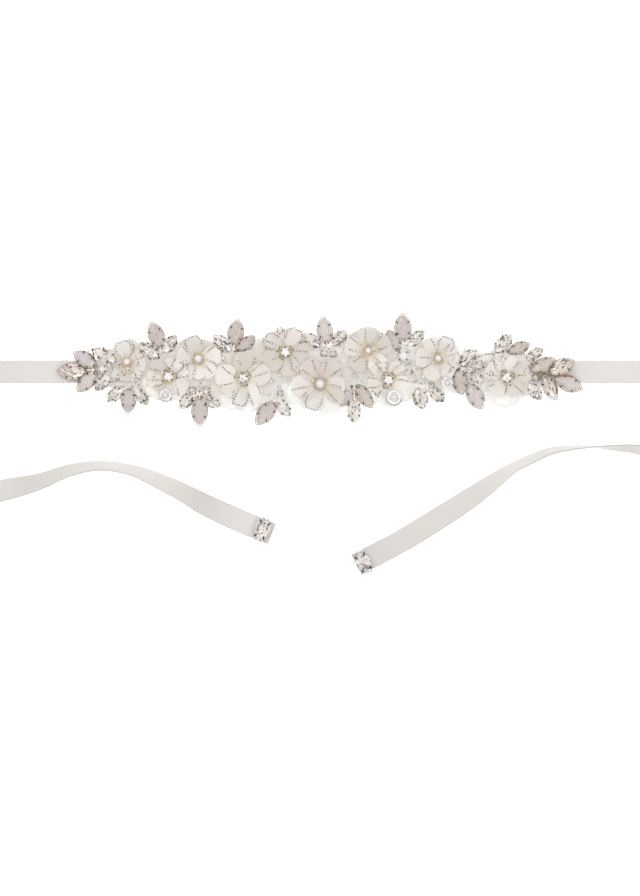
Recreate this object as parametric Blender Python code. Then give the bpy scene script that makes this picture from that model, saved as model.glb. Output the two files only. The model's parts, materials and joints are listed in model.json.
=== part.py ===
# Bridal sash: a narrow satin ribbon that carries an applique of organza flowers and navette stones.
# The sash lies face up on z = 0, with +X along the ribbon and +Z up. The origin is on the ribbon's
# underside, below the middle of the applique. Sizes are in millimetres and angles in degrees, and
# every mesh is scaled to metres as it is made.
import math

import bmesh
import bpy
from mathutils import Matrix, Vector

MM = 0.001
GAP = 0.3                    # clearance between two pieces that touch

RIBBON_WIDTH = 12.7
RIBBON_WALL = 1.0
RIBBON_FACET = 7.5           # length of one facet along the ribbon
CENTRE_HALF = 181.0          # the flat stretch of ribbon reaches this far each way from the origin

# Middle line of the ribbon from its cut end to the flat stretch: x, y, roll. Roll 0 lies flat and
# roll 90 stands on edge, with the upper edge leaning in over the loop.
LEFT_TAIL = [
    (-27.1, -91.8, 21), (-45.0, -84.8, 26), (-65.9, -74.9, 36), (-86.8, -64.0, 49),
    (-107.6, -55.3, 65), (-125.4, -53.1, 69), (-139.0, -55.1, 68), (-159.9, -62.0, 51),
]
LEFT_LOOP = [
    (-181.0, -67.3, 30), (-215.0, -76.5, 48), (-258.0, -91.0, 76), (-312.0, -89.0, 90),
    (-355.0, -54.0, 90), (-366.0, 2.0, 90), (-335.0, 56.0, 90), (-286.0, 73.0, 90),
    (-241.0, 50.0, 82), (-210.0, 14.0, 42), (-181.0, 0.0, 0),
]
RIGHT_TAIL = [
    (20.5, -109.2, 0), (43.7, -97.3, 2), (65.4, -84.6, 22), (87.0, -70.1, 44), (97.7, -62.2, 54),
    (108.6, -54.4, 68), (119.4, -49.0, 72), (130.2, -44.8, 78), (141.0, -43.1, 86),
    (151.8, -42.4, 90), (162.6, -42.6, 95),
]
RIGHT_LOOP = [
    (181.0, -43.4, 110), (222.0, -66.0, 108), (264.0, -93.0, 96), (314.0, -90.0, 90),
    (356.0, -54.0, 90), (366.0, 2.0, 90), (335.0, 56.0, 90), (286.0, 73.0, 90),
    (241.0, 50.0, 82), (210.0, 14.0, 42), (181.0, 0.0, 0),
]

# Backing: a stiff organza shape over the ribbon. Columns are x, upper edge, lower edge.
BACKING_WALL = 1.0
BACKING_FACET = 4.5
BACKING = [
    (-129.0, 5.5, -6.0), (-118.5, 12.0, -8.5), (-107.5, 18.5, -11.0), (-96.0, 14.5, -15.0),
    (-84.5, 14.0, -16.5), (-73.5, 19.5, -16.0), (-62.0, 17.0, -17.0), (-51.0, 13.5, -21.5),
    (-40.0, 15.5, -22.5), (-28.0, 22.0, -20.5), (-17.0, 24.5, -18.5), (-5.5, 17.0, -21.5),
    (5.5, 13.5, -24.0), (17.0, 20.5, -18.5), (28.0, 26.0, -15.0), (39.5, 18.0, -20.0),
    (51.0, 13.0, -16.0), (62.0, 19.0, -12.0), (73.5, 20.0, -12.5), (84.5, 12.0, -12.0),
    (96.0, 11.5, -18.5), (107.5, 13.0, -20.0), (117.0, 9.5, -13.5), (127.5, 5.0, -7.5),
    (136.0, 2.5, -5.0),
]

# Flowers: five-petalled organza shells. Turn is the heading of the first petal, reach the length of
# a petal and cup the rise of its rim. A pearl or a claw-set crystal sits in the middle.
PETALS = 5
PETAL_WALL = 1.2
PETAL_COLUMNS = 7
WELL_RADIUS = 3.4
NOTCH_STEP = 2.2             # the most by which the rim steps in or out from one column to the next
PETAL_RINGS = (0.30, 0.55, 0.80, 1.0)
FLOWERS = {
    "flower_01": {"x": -108.8, "y": 5.4, "turn": 104, "reach": 11.9, "cup": 3.4, "centre": "pearl"},
    "flower_02": {"x": -85.3, "y": -2.9, "turn": 35, "reach": 12.4, "cup": 3.0, "centre": "crystal"},
    "flower_03": {"x": -68.6, "y": 7.1, "turn": 106, "reach": 13.0, "cup": 3.6, "centre": "pearl"},
    "flower_04": {"x": -43.5, "y": -4.0, "turn": 27, "reach": 15.8, "cup": 3.2, "centre": "crystal"},
    "flower_05": {"x": -19.4, "y": 11.0, "turn": 63, "reach": 14.2, "cup": 3.4, "centre": "crystal"},
    "flower_06": {"x": 0.0, "y": -7.1, "turn": 33, "reach": 16.4, "cup": 3.2, "centre": "pearl"},
    "flower_07": {"x": 27.2, "y": 11.7, "turn": 27, "reach": 13.4, "cup": 3.6, "centre": "pearl"},
    "flower_08": {"x": 38.5, "y": -5.0, "turn": 54, "reach": 12.0, "cup": 2.8, "centre": "crystal"},
    "flower_09": {"x": 66.6, "y": 7.3, "turn": 56, "reach": 13.0, "cup": 3.4, "centre": "pearl"},
    "flower_10": {"x": 105.2, "y": -3.5, "turn": 10, "reach": 13.0, "cup": 3.2, "centre": "crystal"},
}
PEARL_RADIUS = {"flower_01": 2.3, "flower_03": 2.6, "flower_06": 2.9, "flower_07": 2.0,
                "flower_09": 2.2}

# Sprays of stones. Each stone is x, y, length, width, turn, kind, where turn is the heading of the
# outer tip. A hub joins the stems of a spray.
SPRAYS = {
    "spray_left_tip": ((-127.4, 1.0), [
        (-139.8, -0.1, 16.8, 9.2, 178, "champagne"), (-132.8, 6.6, 14.9, 8.1, 147, "opal"),
        (-131.5, -5.5, 15.3, 7.9, 225, "opal")]),
    "spray_left_inner": ((-118.4, 1.2), [
        (-120.6, 8.2, 14.6, 8.0, 148, "clear"), (-122.3, -5.9, 13.0, 7.3, 225, "clear"),
        (-122.9, 1.4, 4.4, 4.4, 0, "opal")]),
    "spray_low_1": ((-107.7, -8.4), [
        (-115.3, -12.3, 12.7, 7.3, 224, "clear"), (-108.2, -15.5, 14.4, 7.9, 266, "opal"),
        (-101.2, -13.4, 12.1, 6.8, -50, "clear")]),
    "spray_high_1": ((-89.6, 10.4), [
        (-92.5, 19.3, 15.5, 8.5, 110, "opal"), (-96.3, 11.0, 15.3, 8.5, 143, "clear"),
        (-85.0, 14.7, 13.0, 7.3, 55, "clear")]),
    "spray_low_2": ((-67.9, -12.0), [
        (-67.9, -21.5, 16.4, 8.5, 268, "opal"), (-74.7, -16.1, 12.4, 7.3, 228, "clear"),
        (-61.0, -16.6, 11.3, 6.8, -32, "clear"), (-71.8, -11.0, 5.0, 5.0, 0, "clear"),
        (-64.0, -11.0, 5.0, 5.0, 0, "clear")]),
    "spray_high_2": ((-48.8, 11.8), [
        (-47.5, 21.5, 14.7, 8.4, 80, "opal"), (-54.8, 15.3, 14.7, 7.9, 137, "clear"),
        (-42.1, 15.5, 13.0, 6.8, 40, "opal")]),
    "spray_low_3": ((-24.8, -15.5), [
        (-30.2, -23.1, 16.1, 8.5, 229, "opal"), (-20.7, -19.9, 13.3, 7.3, -52, "clear"),
        (-22.4, -12.3, 4.2, 4.2, 0, "clear")]),
    "spray_high_3": ((4.2, 12.8), [
        (2.8, 22.6, 15.0, 8.2, 98, "opal"), (-3.7, 16.9, 13.6, 7.3, 145, "clear"),
        (10.5, 18.5, 12.4, 7.3, 47, "clear"), (2.2, 10.2, 4.4, 4.4, 0, "clear"),
        (7.4, 9.9, 4.4, 4.4, 0, "clear")]),
    "spray_high_4": ((46.6, 13.8), [
        (46.8, 24.2, 15.5, 8.8, 92, "opal"), (41.6, 17.2, 12.4, 7.9, 115, "opal"),
        (53.5, 18.0, 13.8, 7.3, 42, "clear"), (47.0, 8.8, 6.4, 6.4, 0, "opal")]),
    "spray_low_4": ((19.3, -9.0), [
        (19.2, -21.5, 15.1, 8.4, -89, "clear"), (24.9, -13.4, 14.7, 7.6, -56, "opal"),
        (15.4, -13.4, 12.4, 6.8, 240, "opal")]),
    "spray_low_5": ((60.5, -8.9), [
        (56.7, -14.7, 13.3, 9.0, -77, "clear"), (66.2, -13.1, 11.3, 7.3, -42, "clear"),
        (62.9, -8.0, 4.0, 4.0, 0, "clear")]),
    "spray_low_6": ((79.9, 1.5), [
        (78.9, -5.3, 14.7, 7.9, -79, "opal"), (83.5, 8.2, 13.6, 7.3, 38, "clear"),
        (88.1, -3.2, 9.6, 6.0, -25, "clear"), (90.2, 3.6, 7.4, 5.1, 20, "clear"),
        (84.0, 0.9, 5.0, 5.0, 0, "clear")]),
    "stone_01": (None, [(87.5, -14.2, 15.0, 8.6, -62, "opal")]),
    "stone_02": (None, [(103.2, 16.4, 15.0, 8.4, 47, "clear")]),
    "stone_03": (None, [(112.4, 13.3, 13.2, 6.6, 23, "opal")]),
    "stone_04": (None, [(121.0, 9.8, 12.3, 6.4, 35, "clear")]),
    "stone_05": (None, [(126.2, 3.5, 14.7, 7.6, 27, "opal")]),
    "stone_06": (None, [(137.0, 3.2, 15.0, 8.2, 27, "champagne")]),
    "stone_07": (None, [(140.2, -6.2, 15.8, 8.4, -22, "opal")]),
    "stone_08": (None, [(130.0, -9.6, 15.0, 7.4, -63, "champagne")]),
    "stone_09": (None, [(121.0, -11.6, 11.9, 7.2, -57, "clear")]),
    "stone_10": (None, [(121.6, -3.6, 3.8, 3.8, 0, "champagne")]),
}
STONE_SIDES = 12
# Setting and stone, from the foot up: share of the outline and height.
STONE_PROFILE = [(0.70, 0.0), (0.92, 1.3), (1.0, 2.1), (0.88, 2.8), (0.52, 3.9)]
STEM_WIDTH = 1.6
STEM_HEIGHTS = (0.25, 1.1)
HUB_RADIUS = 1.5
FOOT_STEP = 0.03             # each stone of a spray stands this much above the one before

# Cupped sequins, each with a pearl: x, y, radius.
CUPS = {
    "cup_sequin_1": (-87.0, -13.3, 3.2),
    "cup_sequin_2": (41.7, -14.6, 4.0),
    "cup_sequin_3": (71.6, -6.6, 3.1),
}
# The oval stone on each end of the ribbon lies across it.
END_STONE_LENGTH = 14.0
END_STONE_WIDTH = 10.0
END_STONE_INSET = 5.2        # from the ribbon's cut end to the middle of the stone
END_STONE_LIFT = 0.45        # clears the twist of the ribbon under the stone
END_STONE_SHIFT = {"left": 0.9, "right": 0.0}

COLOURS = {
    "ribbon": ((0.80, 0.78, 0.74), 0.45, 0.0),
    "backing": ((0.88, 0.87, 0.84), 0.60, 0.0),
    "flower": ((0.86, 0.82, 0.76), 0.50, 0.0),
    "opal": ((0.64, 0.57, 0.55), 0.25, 0.0),
    "champagne": ((0.76, 0.64, 0.55), 0.10, 0.2),
    "pearl": ((0.86, 0.82, 0.79), 0.20, 0.0),
    "clear": ((0.80, 0.82, 0.84), 0.08, 0.3),
}


def clear_scene():
    for old in list(bpy.data.objects):
        bpy.data.objects.remove(old)


def material(name, look):
    colour, roughness, metallic = COLOURS[look]
    made = bpy.data.materials.new(name)
    made.use_nodes = True
    shader = made.node_tree.nodes["Principled BSDF"]
    shader.inputs["Base Color"].default_value = (*colour, 1.0)
    shader.inputs["Roughness"].default_value = roughness
    shader.inputs["Metallic"].default_value = metallic
    return made


def link(name, bm):
    mesh = bpy.data.meshes.new(name)
    bm.to_mesh(mesh)
    bm.free()
    made = bpy.data.objects.new(name, mesh)
    bpy.context.collection.objects.link(made)
    return made


def finish(name, bm, look):
    """Turn the closed shape in bm, in millimetres, into an object in metres."""
    bmesh.ops.recalc_face_normals(bm, faces=bm.faces)
    bmesh.ops.scale(bm, vec=(MM, MM, MM), verts=bm.verts)
    made = link(name, bm)
    made.data.materials.append(material(name, look))
    made.data.shade_smooth()
    made.data.set_sharp_from_angle(angle=math.radians(30))


def loft(bm, rings, capped=True):
    """Join a row of rings that have the same number of points, and cap the two ends."""
    made = [[bm.verts.new(point) for point in ring] for ring in rings]
    count = len(made[0])
    for lower, upper in zip(made, made[1:]):
        for i in range(count):
            j = (i + 1) % count
            bm.faces.new((lower[i], lower[j], upper[j], upper[i]))
    if capped:
        bm.faces.new(list(reversed(made[0])))
        bm.faces.new(made[-1])
    return made


def smooth_rows(rows, step, end_slope=None):
    """Points of a smooth curve through the rows, about one step apart in the first two columns."""
    knots = [0.0]
    for a, b in zip(rows, rows[1:]):
        knots.append(knots[-1] + math.hypot(b[0] - a[0], b[1] - a[1]))
    secants = [[(q - p) / (knots[i + 1] - knots[i]) for p, q in zip(rows[i], rows[i + 1])]
               for i in range(len(rows) - 1)]
    slopes = [secants[0]]
    for i in range(1, len(rows) - 1):
        before = knots[i] - knots[i - 1]
        after = knots[i + 1] - knots[i]
        slopes.append([(p * after + q * before) / (before + after)
                       for p, q in zip(secants[i - 1], secants[i])])
    slopes.append(list(end_slope) if end_slope else secants[-1])
    points = [tuple(rows[0])]
    for i in range(len(rows) - 1):
        span = knots[i + 1] - knots[i]
        parts = max(1, round(span / step))
        for part in range(1, parts + 1):
            t = part / parts
            lead = (2 * t ** 3 - 3 * t ** 2 + 1, (t ** 3 - 2 * t ** 2 + t) * span)
            tail = (3 * t ** 2 - 2 * t ** 3, (t ** 3 - t ** 2) * span)
            points.append(tuple(
                lead[0] * rows[i][k] + lead[1] * slopes[i][k]
                + tail[0] * rows[i + 1][k] + tail[1] * slopes[i + 1][k]
                for k in range(len(rows[0]))))
    return points


def ribbon_frame(points, index, hand):
    """Middle, direction, outward side and face normal of the ribbon at one point of its line."""
    before = points[max(index - 1, 0)]
    after = points[min(index + 1, len(points) - 1)]
    along = Vector((after[0] - before[0], after[1] - before[1], 0.0)).normalized()
    if index == len(points) - 1:
        along = Vector((-hand, 0.0, 0.0))
    outward = Vector((-along.y, along.x, 0.0)) * hand
    roll = math.radians(points[index][2])
    side = outward * math.cos(roll) - Vector((0.0, 0.0, math.sin(roll)))
    normal = outward * math.sin(roll) + Vector((0.0, 0.0, math.cos(roll)))
    height = RIBBON_WIDTH / 2 * math.sin(roll) + RIBBON_WALL / 2 * abs(math.cos(roll))
    middle = Vector((points[index][0], points[index][1], height))
    return middle, along, side, normal


def ribbon_stretch(name, points, first, last, hand):
    """One stretch of ribbon, with its lower edge on z = 0 all along."""
    bm = bmesh.new()
    rings = []
    for index in range(first, last + 1):
        middle, along, side, normal = ribbon_frame(points, index, hand)
        if index == first and first > 0:
            middle += along * GAP / 2
        if index == last:
            middle -= along * GAP / 2
        half_width = side * RIBBON_WIDTH / 2
        half_wall = normal * RIBBON_WALL / 2
        rings.append([middle - half_width - half_wall, middle + half_width - half_wall,
                      middle + half_width + half_wall, middle - half_width + half_wall])
    loft(bm, rings)
    finish(name, bm, "ribbon")


def ribbon_side(side_name, tail, loop, hand):
    """The tail and the loop on one side, and the stone on the cut end."""
    points = smooth_rows(tail + loop, RIBBON_FACET, end_slope=(-hand, 0.0, 0.0))
    join = min(range(len(points)),
               key=lambda i: math.hypot(points[i][0] - loop[0][0], points[i][1] - loop[0][1]))
    ribbon_stretch("ribbon_tail_" + side_name, points, 0, join, hand)
    ribbon_stretch("ribbon_loop_" + side_name, points, join, len(points) - 1, hand)
    middle, along, side, normal = ribbon_frame(points, 1, hand)
    cut = ribbon_frame(points, 0, hand)[0]
    seat = (cut + along * END_STONE_INSET + side * END_STONE_SHIFT[side_name]
            + normal * (RIBBON_WALL / 2 + END_STONE_LIFT))
    bm = bmesh.new()
    stone_shape(bm, END_STONE_LENGTH, END_STONE_WIDTH, pointed=False)
    turn = Matrix((side, normal.cross(side), normal)).transposed()
    bmesh.ops.transform(bm, matrix=Matrix.Translation(seat) @ turn.to_4x4(), verts=bm.verts)
    finish("end_stone_" + side_name, bm, "clear")


def ribbon_centre():
    bm = bmesh.new()
    rings = []
    for x in (-CENTRE_HALF + GAP / 2, CENTRE_HALF - GAP / 2):
        half = RIBBON_WIDTH / 2
        rings.append([(x, -half, 0.0), (x, half, 0.0), (x, half, RIBBON_WALL), (x, -half, RIBBON_WALL)])
    loft(bm, rings)
    finish("ribbon_centre", bm, "ribbon")


def backing():
    floor = RIBBON_WALL + GAP
    upper = smooth_rows([(x, top) for x, top, bottom in BACKING], BACKING_FACET)
    lower = smooth_rows([(x, bottom) for x, top, bottom in BACKING], BACKING_FACET)
    outline = lower + list(reversed(upper))
    bm = bmesh.new()
    loft(bm, [[(x, y, floor) for x, y in outline], [(x, y, floor + BACKING_WALL) for x, y in outline]])
    finish("backing", bm, "backing")
    return floor + BACKING_WALL + GAP


def stone_outline(length, width, pointed=True):
    """A navette has two arcs that meet in points, and an oval or round stone is an ellipse."""
    points = []
    for i in range(STONE_SIDES):
        angle = 2 * math.pi * i / STONE_SIDES
        across = math.sin(angle)
        if pointed:
            across = math.copysign(abs(across) ** 1.65, across)
        points.append((math.cos(angle) * length / 2, across * width / 2))
    return points


def stone_shape(bm, length, width, pointed=True):
    outline = stone_outline(length, width, pointed)
    loft(bm, [[(x * share, y * share, z) for x, y in outline] for share, z in STONE_PROFILE])


def placed_stone(x, y, length, width, turn, seat):
    bm = bmesh.new()
    stone_shape(bm, length, width, pointed=length > width)
    place = Matrix.Translation((x, y, seat)) @ Matrix.Rotation(math.radians(turn), 4, "Z")
    bmesh.ops.transform(bm, matrix=place, verts=bm.verts)
    return bm


def stem(hub, stone, seat):
    """A flat bar from the hub to the middle of a stone's foot."""
    run = Vector((stone[0] - hub[0], stone[1] - hub[1], 0.0))
    bm = bmesh.new()
    bmesh.ops.create_cube(bm, size=1.0)
    bottom, top = STEM_HEIGHTS
    size = Matrix.Diagonal((run.length, STEM_WIDTH, top - bottom, 1.0))
    middle = Vector((hub[0], hub[1], seat + (bottom + top) / 2)) + run / 2
    turn = Matrix.Rotation(math.atan2(run.y, run.x), 4, "Z")
    bmesh.ops.transform(bm, matrix=Matrix.Translation(middle) @ turn @ size, verts=bm.verts)
    return bm


def hub_disc(hub, seat):
    bm = bmesh.new()
    low = STEM_HEIGHTS[0] - FOOT_STEP
    high = STEM_HEIGHTS[1] + FOOT_STEP * 7
    rings = []
    for z in (low, high):
        rings.append([(hub[0] + HUB_RADIUS * math.cos(k * math.pi / 4 + 0.2),
                       hub[1] + HUB_RADIUS * math.sin(k * math.pi / 4 + 0.2), seat + z) for k in range(8)])
    loft(bm, rings)
    return bm


def fuse(name, shapes, look):
    """Union of closed shapes that overlap, as one body."""
    made = []
    for bm in shapes:
        bmesh.ops.recalc_face_normals(bm, faces=bm.faces)
        made.append(link(name + "_shape", bm))
    for other in made[1:]:
        union = made[0].modifiers.new("union", "BOOLEAN")
        union.operation = "UNION"
        union.solver = "EXACT"
        union.object = other
    fused = bmesh.new()
    fused.from_object(made[0], bpy.context.evaluated_depsgraph_get())
    for old in made:
        bpy.data.objects.remove(old)
    bmesh.ops.remove_doubles(fused, verts=fused.verts, dist=0.002)
    bmesh.ops.dissolve_degenerate(fused, edges=fused.edges, dist=0.002)
    finish(name, fused, look)


def spray(name, hub, stones, seat):
    shapes = [placed_stone(*stone[:5], seat + FOOT_STEP * i) for i, stone in enumerate(stones)]
    if hub is None:
        finish(name, shapes[0], stones[0][5])
        return
    shapes += [stem(hub, stone, seat + FOOT_STEP * (i + 0.5)) for i, stone in enumerate(stones)]
    shapes.append(hub_disc(hub, seat))
    fuse(name, shapes, stones[0][5])


def stone_edges():
    """Edges, in plan, of every stone of every spray, which the petals stay clear of."""
    edges = []
    for hub, stones in SPRAYS.values():
        for x, y, length, width, turn, kind in stones:
            outline = stone_outline(length + 2 * GAP, width + 2 * GAP, length > width)
            cos_turn = math.cos(math.radians(turn))
            sin_turn = math.sin(math.radians(turn))
            corners = [(x + px * cos_turn - py * sin_turn, y + px * sin_turn + py * cos_turn)
                       for px, py in outline]
            edges += list(zip(corners, corners[1:] + corners[:1]))
    return edges


def ray_length(x, y, heading, edge):
    """Distance from a point to an edge along a heading, or infinity where the ray misses it."""
    (ax, ay), (bx, by) = edge
    dx, dy = math.cos(heading), math.sin(heading)
    ex, ey = bx - ax, by - ay
    cross = dx * ey - dy * ex
    if abs(cross) < 1e-9:
        return math.inf
    distance = ((ax - x) * ey - (ay - y) * ex) / cross
    share = ((ax - x) * dy - (ay - y) * dx) / cross
    return distance if distance > 0 and 0 <= share <= 1 else math.inf


def petal_reach(name, heading, edges):
    """How far a flower reaches along a heading: its petals, cut short by neighbours and stones."""
    flower = FLOWERS[name]
    phase = petal_phase(flower, heading)
    reach = flower["reach"] * (0.66 + 0.34 * math.cos(math.pi * phase) ** 0.7)
    for other_name, other in FLOWERS.items():
        apart = math.hypot(other["x"] - flower["x"], other["y"] - flower["y"])
        if other_name == name or apart > flower["reach"] + other["reach"]:
            continue
        share = (apart ** 2 + flower["reach"] ** 2 - other["reach"] ** 2) / (2 * apart)
        bearing = math.atan2(other["y"] - flower["y"], other["x"] - flower["x"])
        facing = math.cos(heading - bearing)
        if facing > 0.2:
            reach = min(reach, (share - GAP) / facing)
    for edge in edges:
        reach = min(reach, ray_length(flower["x"], flower["y"], heading, edge) - GAP)
    return max(reach, WELL_RADIUS + 1.0)


def petal_phase(flower, heading):
    """Place across a petal, from -0.5 at one side to 0.5 at the other."""
    turns = (heading - math.radians(flower["turn"])) * PETALS / (2 * math.pi)
    return (turns + 0.5) % 1.0 - 0.5


def petal_rise(flower, radius, heading):
    """Height of a flower's face over its well. Petals spring up, cup and overlap like tiles."""
    share = max(0.0, (radius - WELL_RADIUS) / (flower["reach"] - WELL_RADIUS))
    phase = petal_phase(flower, heading)
    arch = flower["cup"] * (1 - (1 - min(share, 1.0)) ** 2)
    return arch + share * (1.6 * phase ** 2 + 0.9 * phase)


def flower_shell(name, seat, edges):
    flower = FLOWERS[name]
    count = PETALS * PETAL_COLUMNS
    headings = [math.radians(flower["turn"]) + 2 * math.pi * (k + 0.5) / count for k in range(count)]
    reaches = [petal_reach(name, heading, edges) for heading in headings]
    reaches = [min(reaches[k - 1] + NOTCH_STEP, reaches[k], reaches[(k + 1) % count] + NOTCH_STEP)
               for k in range(count)]
    bm = bmesh.new()

    def ring(share, lift):
        points = []
        for heading, reach in zip(headings, reaches):
            radius = max(WELL_RADIUS, share * reach) if share > PETAL_RINGS[0] else WELL_RADIUS
            rise = petal_rise(flower, radius, heading)
            points.append((flower["x"] + radius * math.cos(heading),
                           flower["y"] + radius * math.sin(heading), seat + rise + lift))
        return points

    top = [ring(share, PETAL_WALL) for share in reversed(PETAL_RINGS)]
    under = [ring(share, 0.0) for share in PETAL_RINGS]
    loft(bm, list(reversed(top)) + list(reversed(under)))
    finish(name, bm, "flower")
    return seat + PETAL_WALL + GAP


def turned(name, x, y, seat, profile, look, sides=12):
    """A round piece from a profile of radius and height, foot to top."""
    bm = bmesh.new()
    loft(bm, [[(x + radius * math.cos(2 * math.pi * k / sides),
                y + radius * math.sin(2 * math.pi * k / sides), seat + z) for k in range(sides)]
              for radius, z in profile])
    finish(name, bm, look)


def ball_profile(radius, steps=5, foot=0.3):
    """Radius and height of a ball that stands on a small flat foot."""
    profile = []
    for k in range(steps + 1):
        angle = math.pi * (foot / 2 + (1 - foot / 2 - 0.03) * k / steps)
        profile.append((radius * math.sin(angle), -radius * math.cos(angle)))
    low = profile[0][1]
    return [(r, z - low) for r, z in profile]


def flower_centre(name, seat):
    flower = FLOWERS[name]
    made = name.replace("flower", "centre")
    if flower["centre"] == "pearl":
        turned(made, flower["x"], flower["y"], seat, ball_profile(PEARL_RADIUS[name]), "pearl")
    else:
        profile = [(1.9, 0.0), (2.6, 1.2), (2.6, 1.9), (2.3, 2.4), (1.4, 3.0)]
        turned(made, flower["x"], flower["y"], seat, profile, "clear")


def cup_sequin(name, flower_seat, edges):
    """A shallow dish with a pearl in it, on the backing or on the petal beneath it."""
    x, y, radius = CUPS[name]
    seat = flower_seat
    for flower_name, flower in FLOWERS.items():
        for k in range(24):
            for share in (0.0, 0.5, 1.0):
                px = x + share * radius * math.cos(k * math.pi / 12)
                py = y + share * radius * math.sin(k * math.pi / 12)
                away = math.hypot(px - flower["x"], py - flower["y"])
                heading = math.atan2(py - flower["y"], px - flower["x"])
                if away < flower["reach"] and away < petal_reach(flower_name, heading, edges) + GAP:
                    top = flower_seat + petal_rise(flower, away, heading) + PETAL_WALL
                    seat = max(seat, top + GAP)
    pearl = radius * 0.45
    profile = [(radius * 0.35, 0.0), (radius * 0.98, 0.9), (radius, 1.3), (radius * 0.6, 0.9),
               (pearl * 0.95, 1.2), (pearl, 1.2 + pearl * 0.5), (pearl * 0.7, 1.2 + pearl * 1.2),
               (pearl * 0.2, 1.2 + pearl * 1.5)]
    turned(name, x, y, seat, profile, "pearl")


def main():
    clear_scene()
    ribbon_centre()
    ribbon_side("left", LEFT_TAIL, LEFT_LOOP, -1)
    ribbon_side("right", RIGHT_TAIL, RIGHT_LOOP, 1)
    seat = backing()
    edges = stone_edges()
    for name in FLOWERS:
        well = flower_shell(name, seat, edges)
        flower_centre(name, well)
    for name, (hub, stones) in SPRAYS.items():
        spray(name, hub, stones, seat)
    for name in CUPS:
        cup_sequin(name, seat, edges)


main()
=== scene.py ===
import json
import math
import random

import bmesh
import bpy
from mathutils import Matrix, Vector
from mathutils.bvhtree import BVHTree

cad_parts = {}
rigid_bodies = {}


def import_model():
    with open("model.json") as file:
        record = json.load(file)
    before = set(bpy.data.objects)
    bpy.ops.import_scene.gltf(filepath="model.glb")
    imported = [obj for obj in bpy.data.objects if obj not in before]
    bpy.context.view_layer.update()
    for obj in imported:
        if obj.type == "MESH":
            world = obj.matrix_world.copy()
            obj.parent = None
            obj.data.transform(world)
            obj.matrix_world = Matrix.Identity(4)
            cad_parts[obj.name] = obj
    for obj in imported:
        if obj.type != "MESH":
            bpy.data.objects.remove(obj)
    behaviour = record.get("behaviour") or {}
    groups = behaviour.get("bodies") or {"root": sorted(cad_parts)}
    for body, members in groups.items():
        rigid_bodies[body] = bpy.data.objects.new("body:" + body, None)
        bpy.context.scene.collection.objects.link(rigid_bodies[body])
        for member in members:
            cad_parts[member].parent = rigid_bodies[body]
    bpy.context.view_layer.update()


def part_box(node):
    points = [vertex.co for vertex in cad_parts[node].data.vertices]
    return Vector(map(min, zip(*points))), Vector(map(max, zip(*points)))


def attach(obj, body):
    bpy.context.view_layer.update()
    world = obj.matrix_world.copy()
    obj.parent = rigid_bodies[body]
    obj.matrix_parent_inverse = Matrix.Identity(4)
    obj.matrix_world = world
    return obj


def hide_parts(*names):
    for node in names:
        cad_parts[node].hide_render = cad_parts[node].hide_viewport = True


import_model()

# Bridal sash. Tables are in millimetres and degrees, and every mesh is scaled to metres as it is made.
mm = 0.001
# Fixed seeds. The number of a flower, spray or patch is added where there are several.
seeds = {
    "centreSatin": 7, "leftSatin": 11, "rightSatin": 21, "netScraps": 31, "looseBeads": 41, "specks": 77,
    "middle": 100, "spikes": 200, "heart": 300, "innerBeads": 400, "outerBeads": 500, "rimBeads": 600,
    "gems": 700, "milling": 800, "endGem": 900, "speckBeads": 1000,
}

studio = {
    "lens": 100.0,
    "film": 36.0,
    "clip": (0.05, 50.0),
    "cameraHeight": 1.409,
    "aimY": -0.0432,
    "floorSize": 12.0,
    "floorColour": (0.93, 0.93, 0.93),
    "floorRough": 0.9,
    "floorShine": 0.1,
    "floorGlow": 0.45,
    "worldColour": (0.97, 0.985, 1.0),
    "worldStrength": 0.60,
    "lamps": [
        # name, place, side of the panel, power
        ("keyPanel", (-0.85, 0.75, 1.30), 1.2, 12.2),
        ("fillPanel", (0.95, 0.35, 1.25), 1.0, 7.5),
        ("frontPanel", (0.15, -1.15, 1.10), 0.9, 6.3),
    ],
}


def placed(name, data):
    made = bpy.data.objects.new(name, data)
    bpy.context.collection.objects.link(made)
    return made


def opaque(colour):
    return (*colour, 1.0)


def setCamera():
    data = bpy.data.cameras.new("camera")
    data.lens = studio["lens"]
    data.sensor_width = studio["film"]
    data.clip_start, data.clip_end = studio["clip"]
    camera = placed("camera", data)
    camera.location = (0.0, studio["aimY"], studio["cameraHeight"])
    bpy.context.scene.camera = camera


def setLamps():
    for name, place, side, power in studio["lamps"]:
        data = bpy.data.lights.new(name, "AREA")
        data.shape = "SQUARE"
        data.size = side
        data.energy = power
        lamp = placed(name, data)
        lamp.location = place
        lamp.rotation_mode = "QUATERNION"
        lamp.rotation_quaternion = Vector(place).to_track_quat("Z", "Y")
    world = bpy.data.worlds.new("studioRoom")
    world.use_nodes = True
    sky = world.node_tree.nodes["Background"]
    sky.inputs["Color"].default_value = opaque(studio["worldColour"])
    sky.inputs["Strength"].default_value = studio["worldStrength"]
    bpy.context.scene.world = world
    bpy.context.scene.view_settings.view_transform = "Standard"


setCamera()
setLamps()
print("camera and lamps set")


class Socket:
    # One output of a node. Sums on it add Math nodes, so masks and sizes read as plain arithmetic.
    def __init__(self, graph, link):
        self.graph = graph
        self.link = link

    def maths(self, operation, *others, clamp=False):
        inputs = dict(enumerate((self, *others)))
        return self.graph.node("ShaderNodeMath", {"operation": operation, "use_clamp": clamp}, inputs)

    def __add__(self, other):
        return self.maths("ADD", other)

    def __sub__(self, other):
        return self.maths("SUBTRACT", other)

    def __rsub__(self, other):
        return self.graph.node("ShaderNodeMath", {"operation": "SUBTRACT"}, {0: other, 1: self})

    def __mul__(self, other):
        return self.maths("MULTIPLY", other)

    __radd__ = __add__

    def sine(self):
        return self.maths("SINE")

    def size(self):
        return self.maths("ABSOLUTE")

    def held(self):
        return self.maths("ADD", 0.0, clamp=True)


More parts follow.
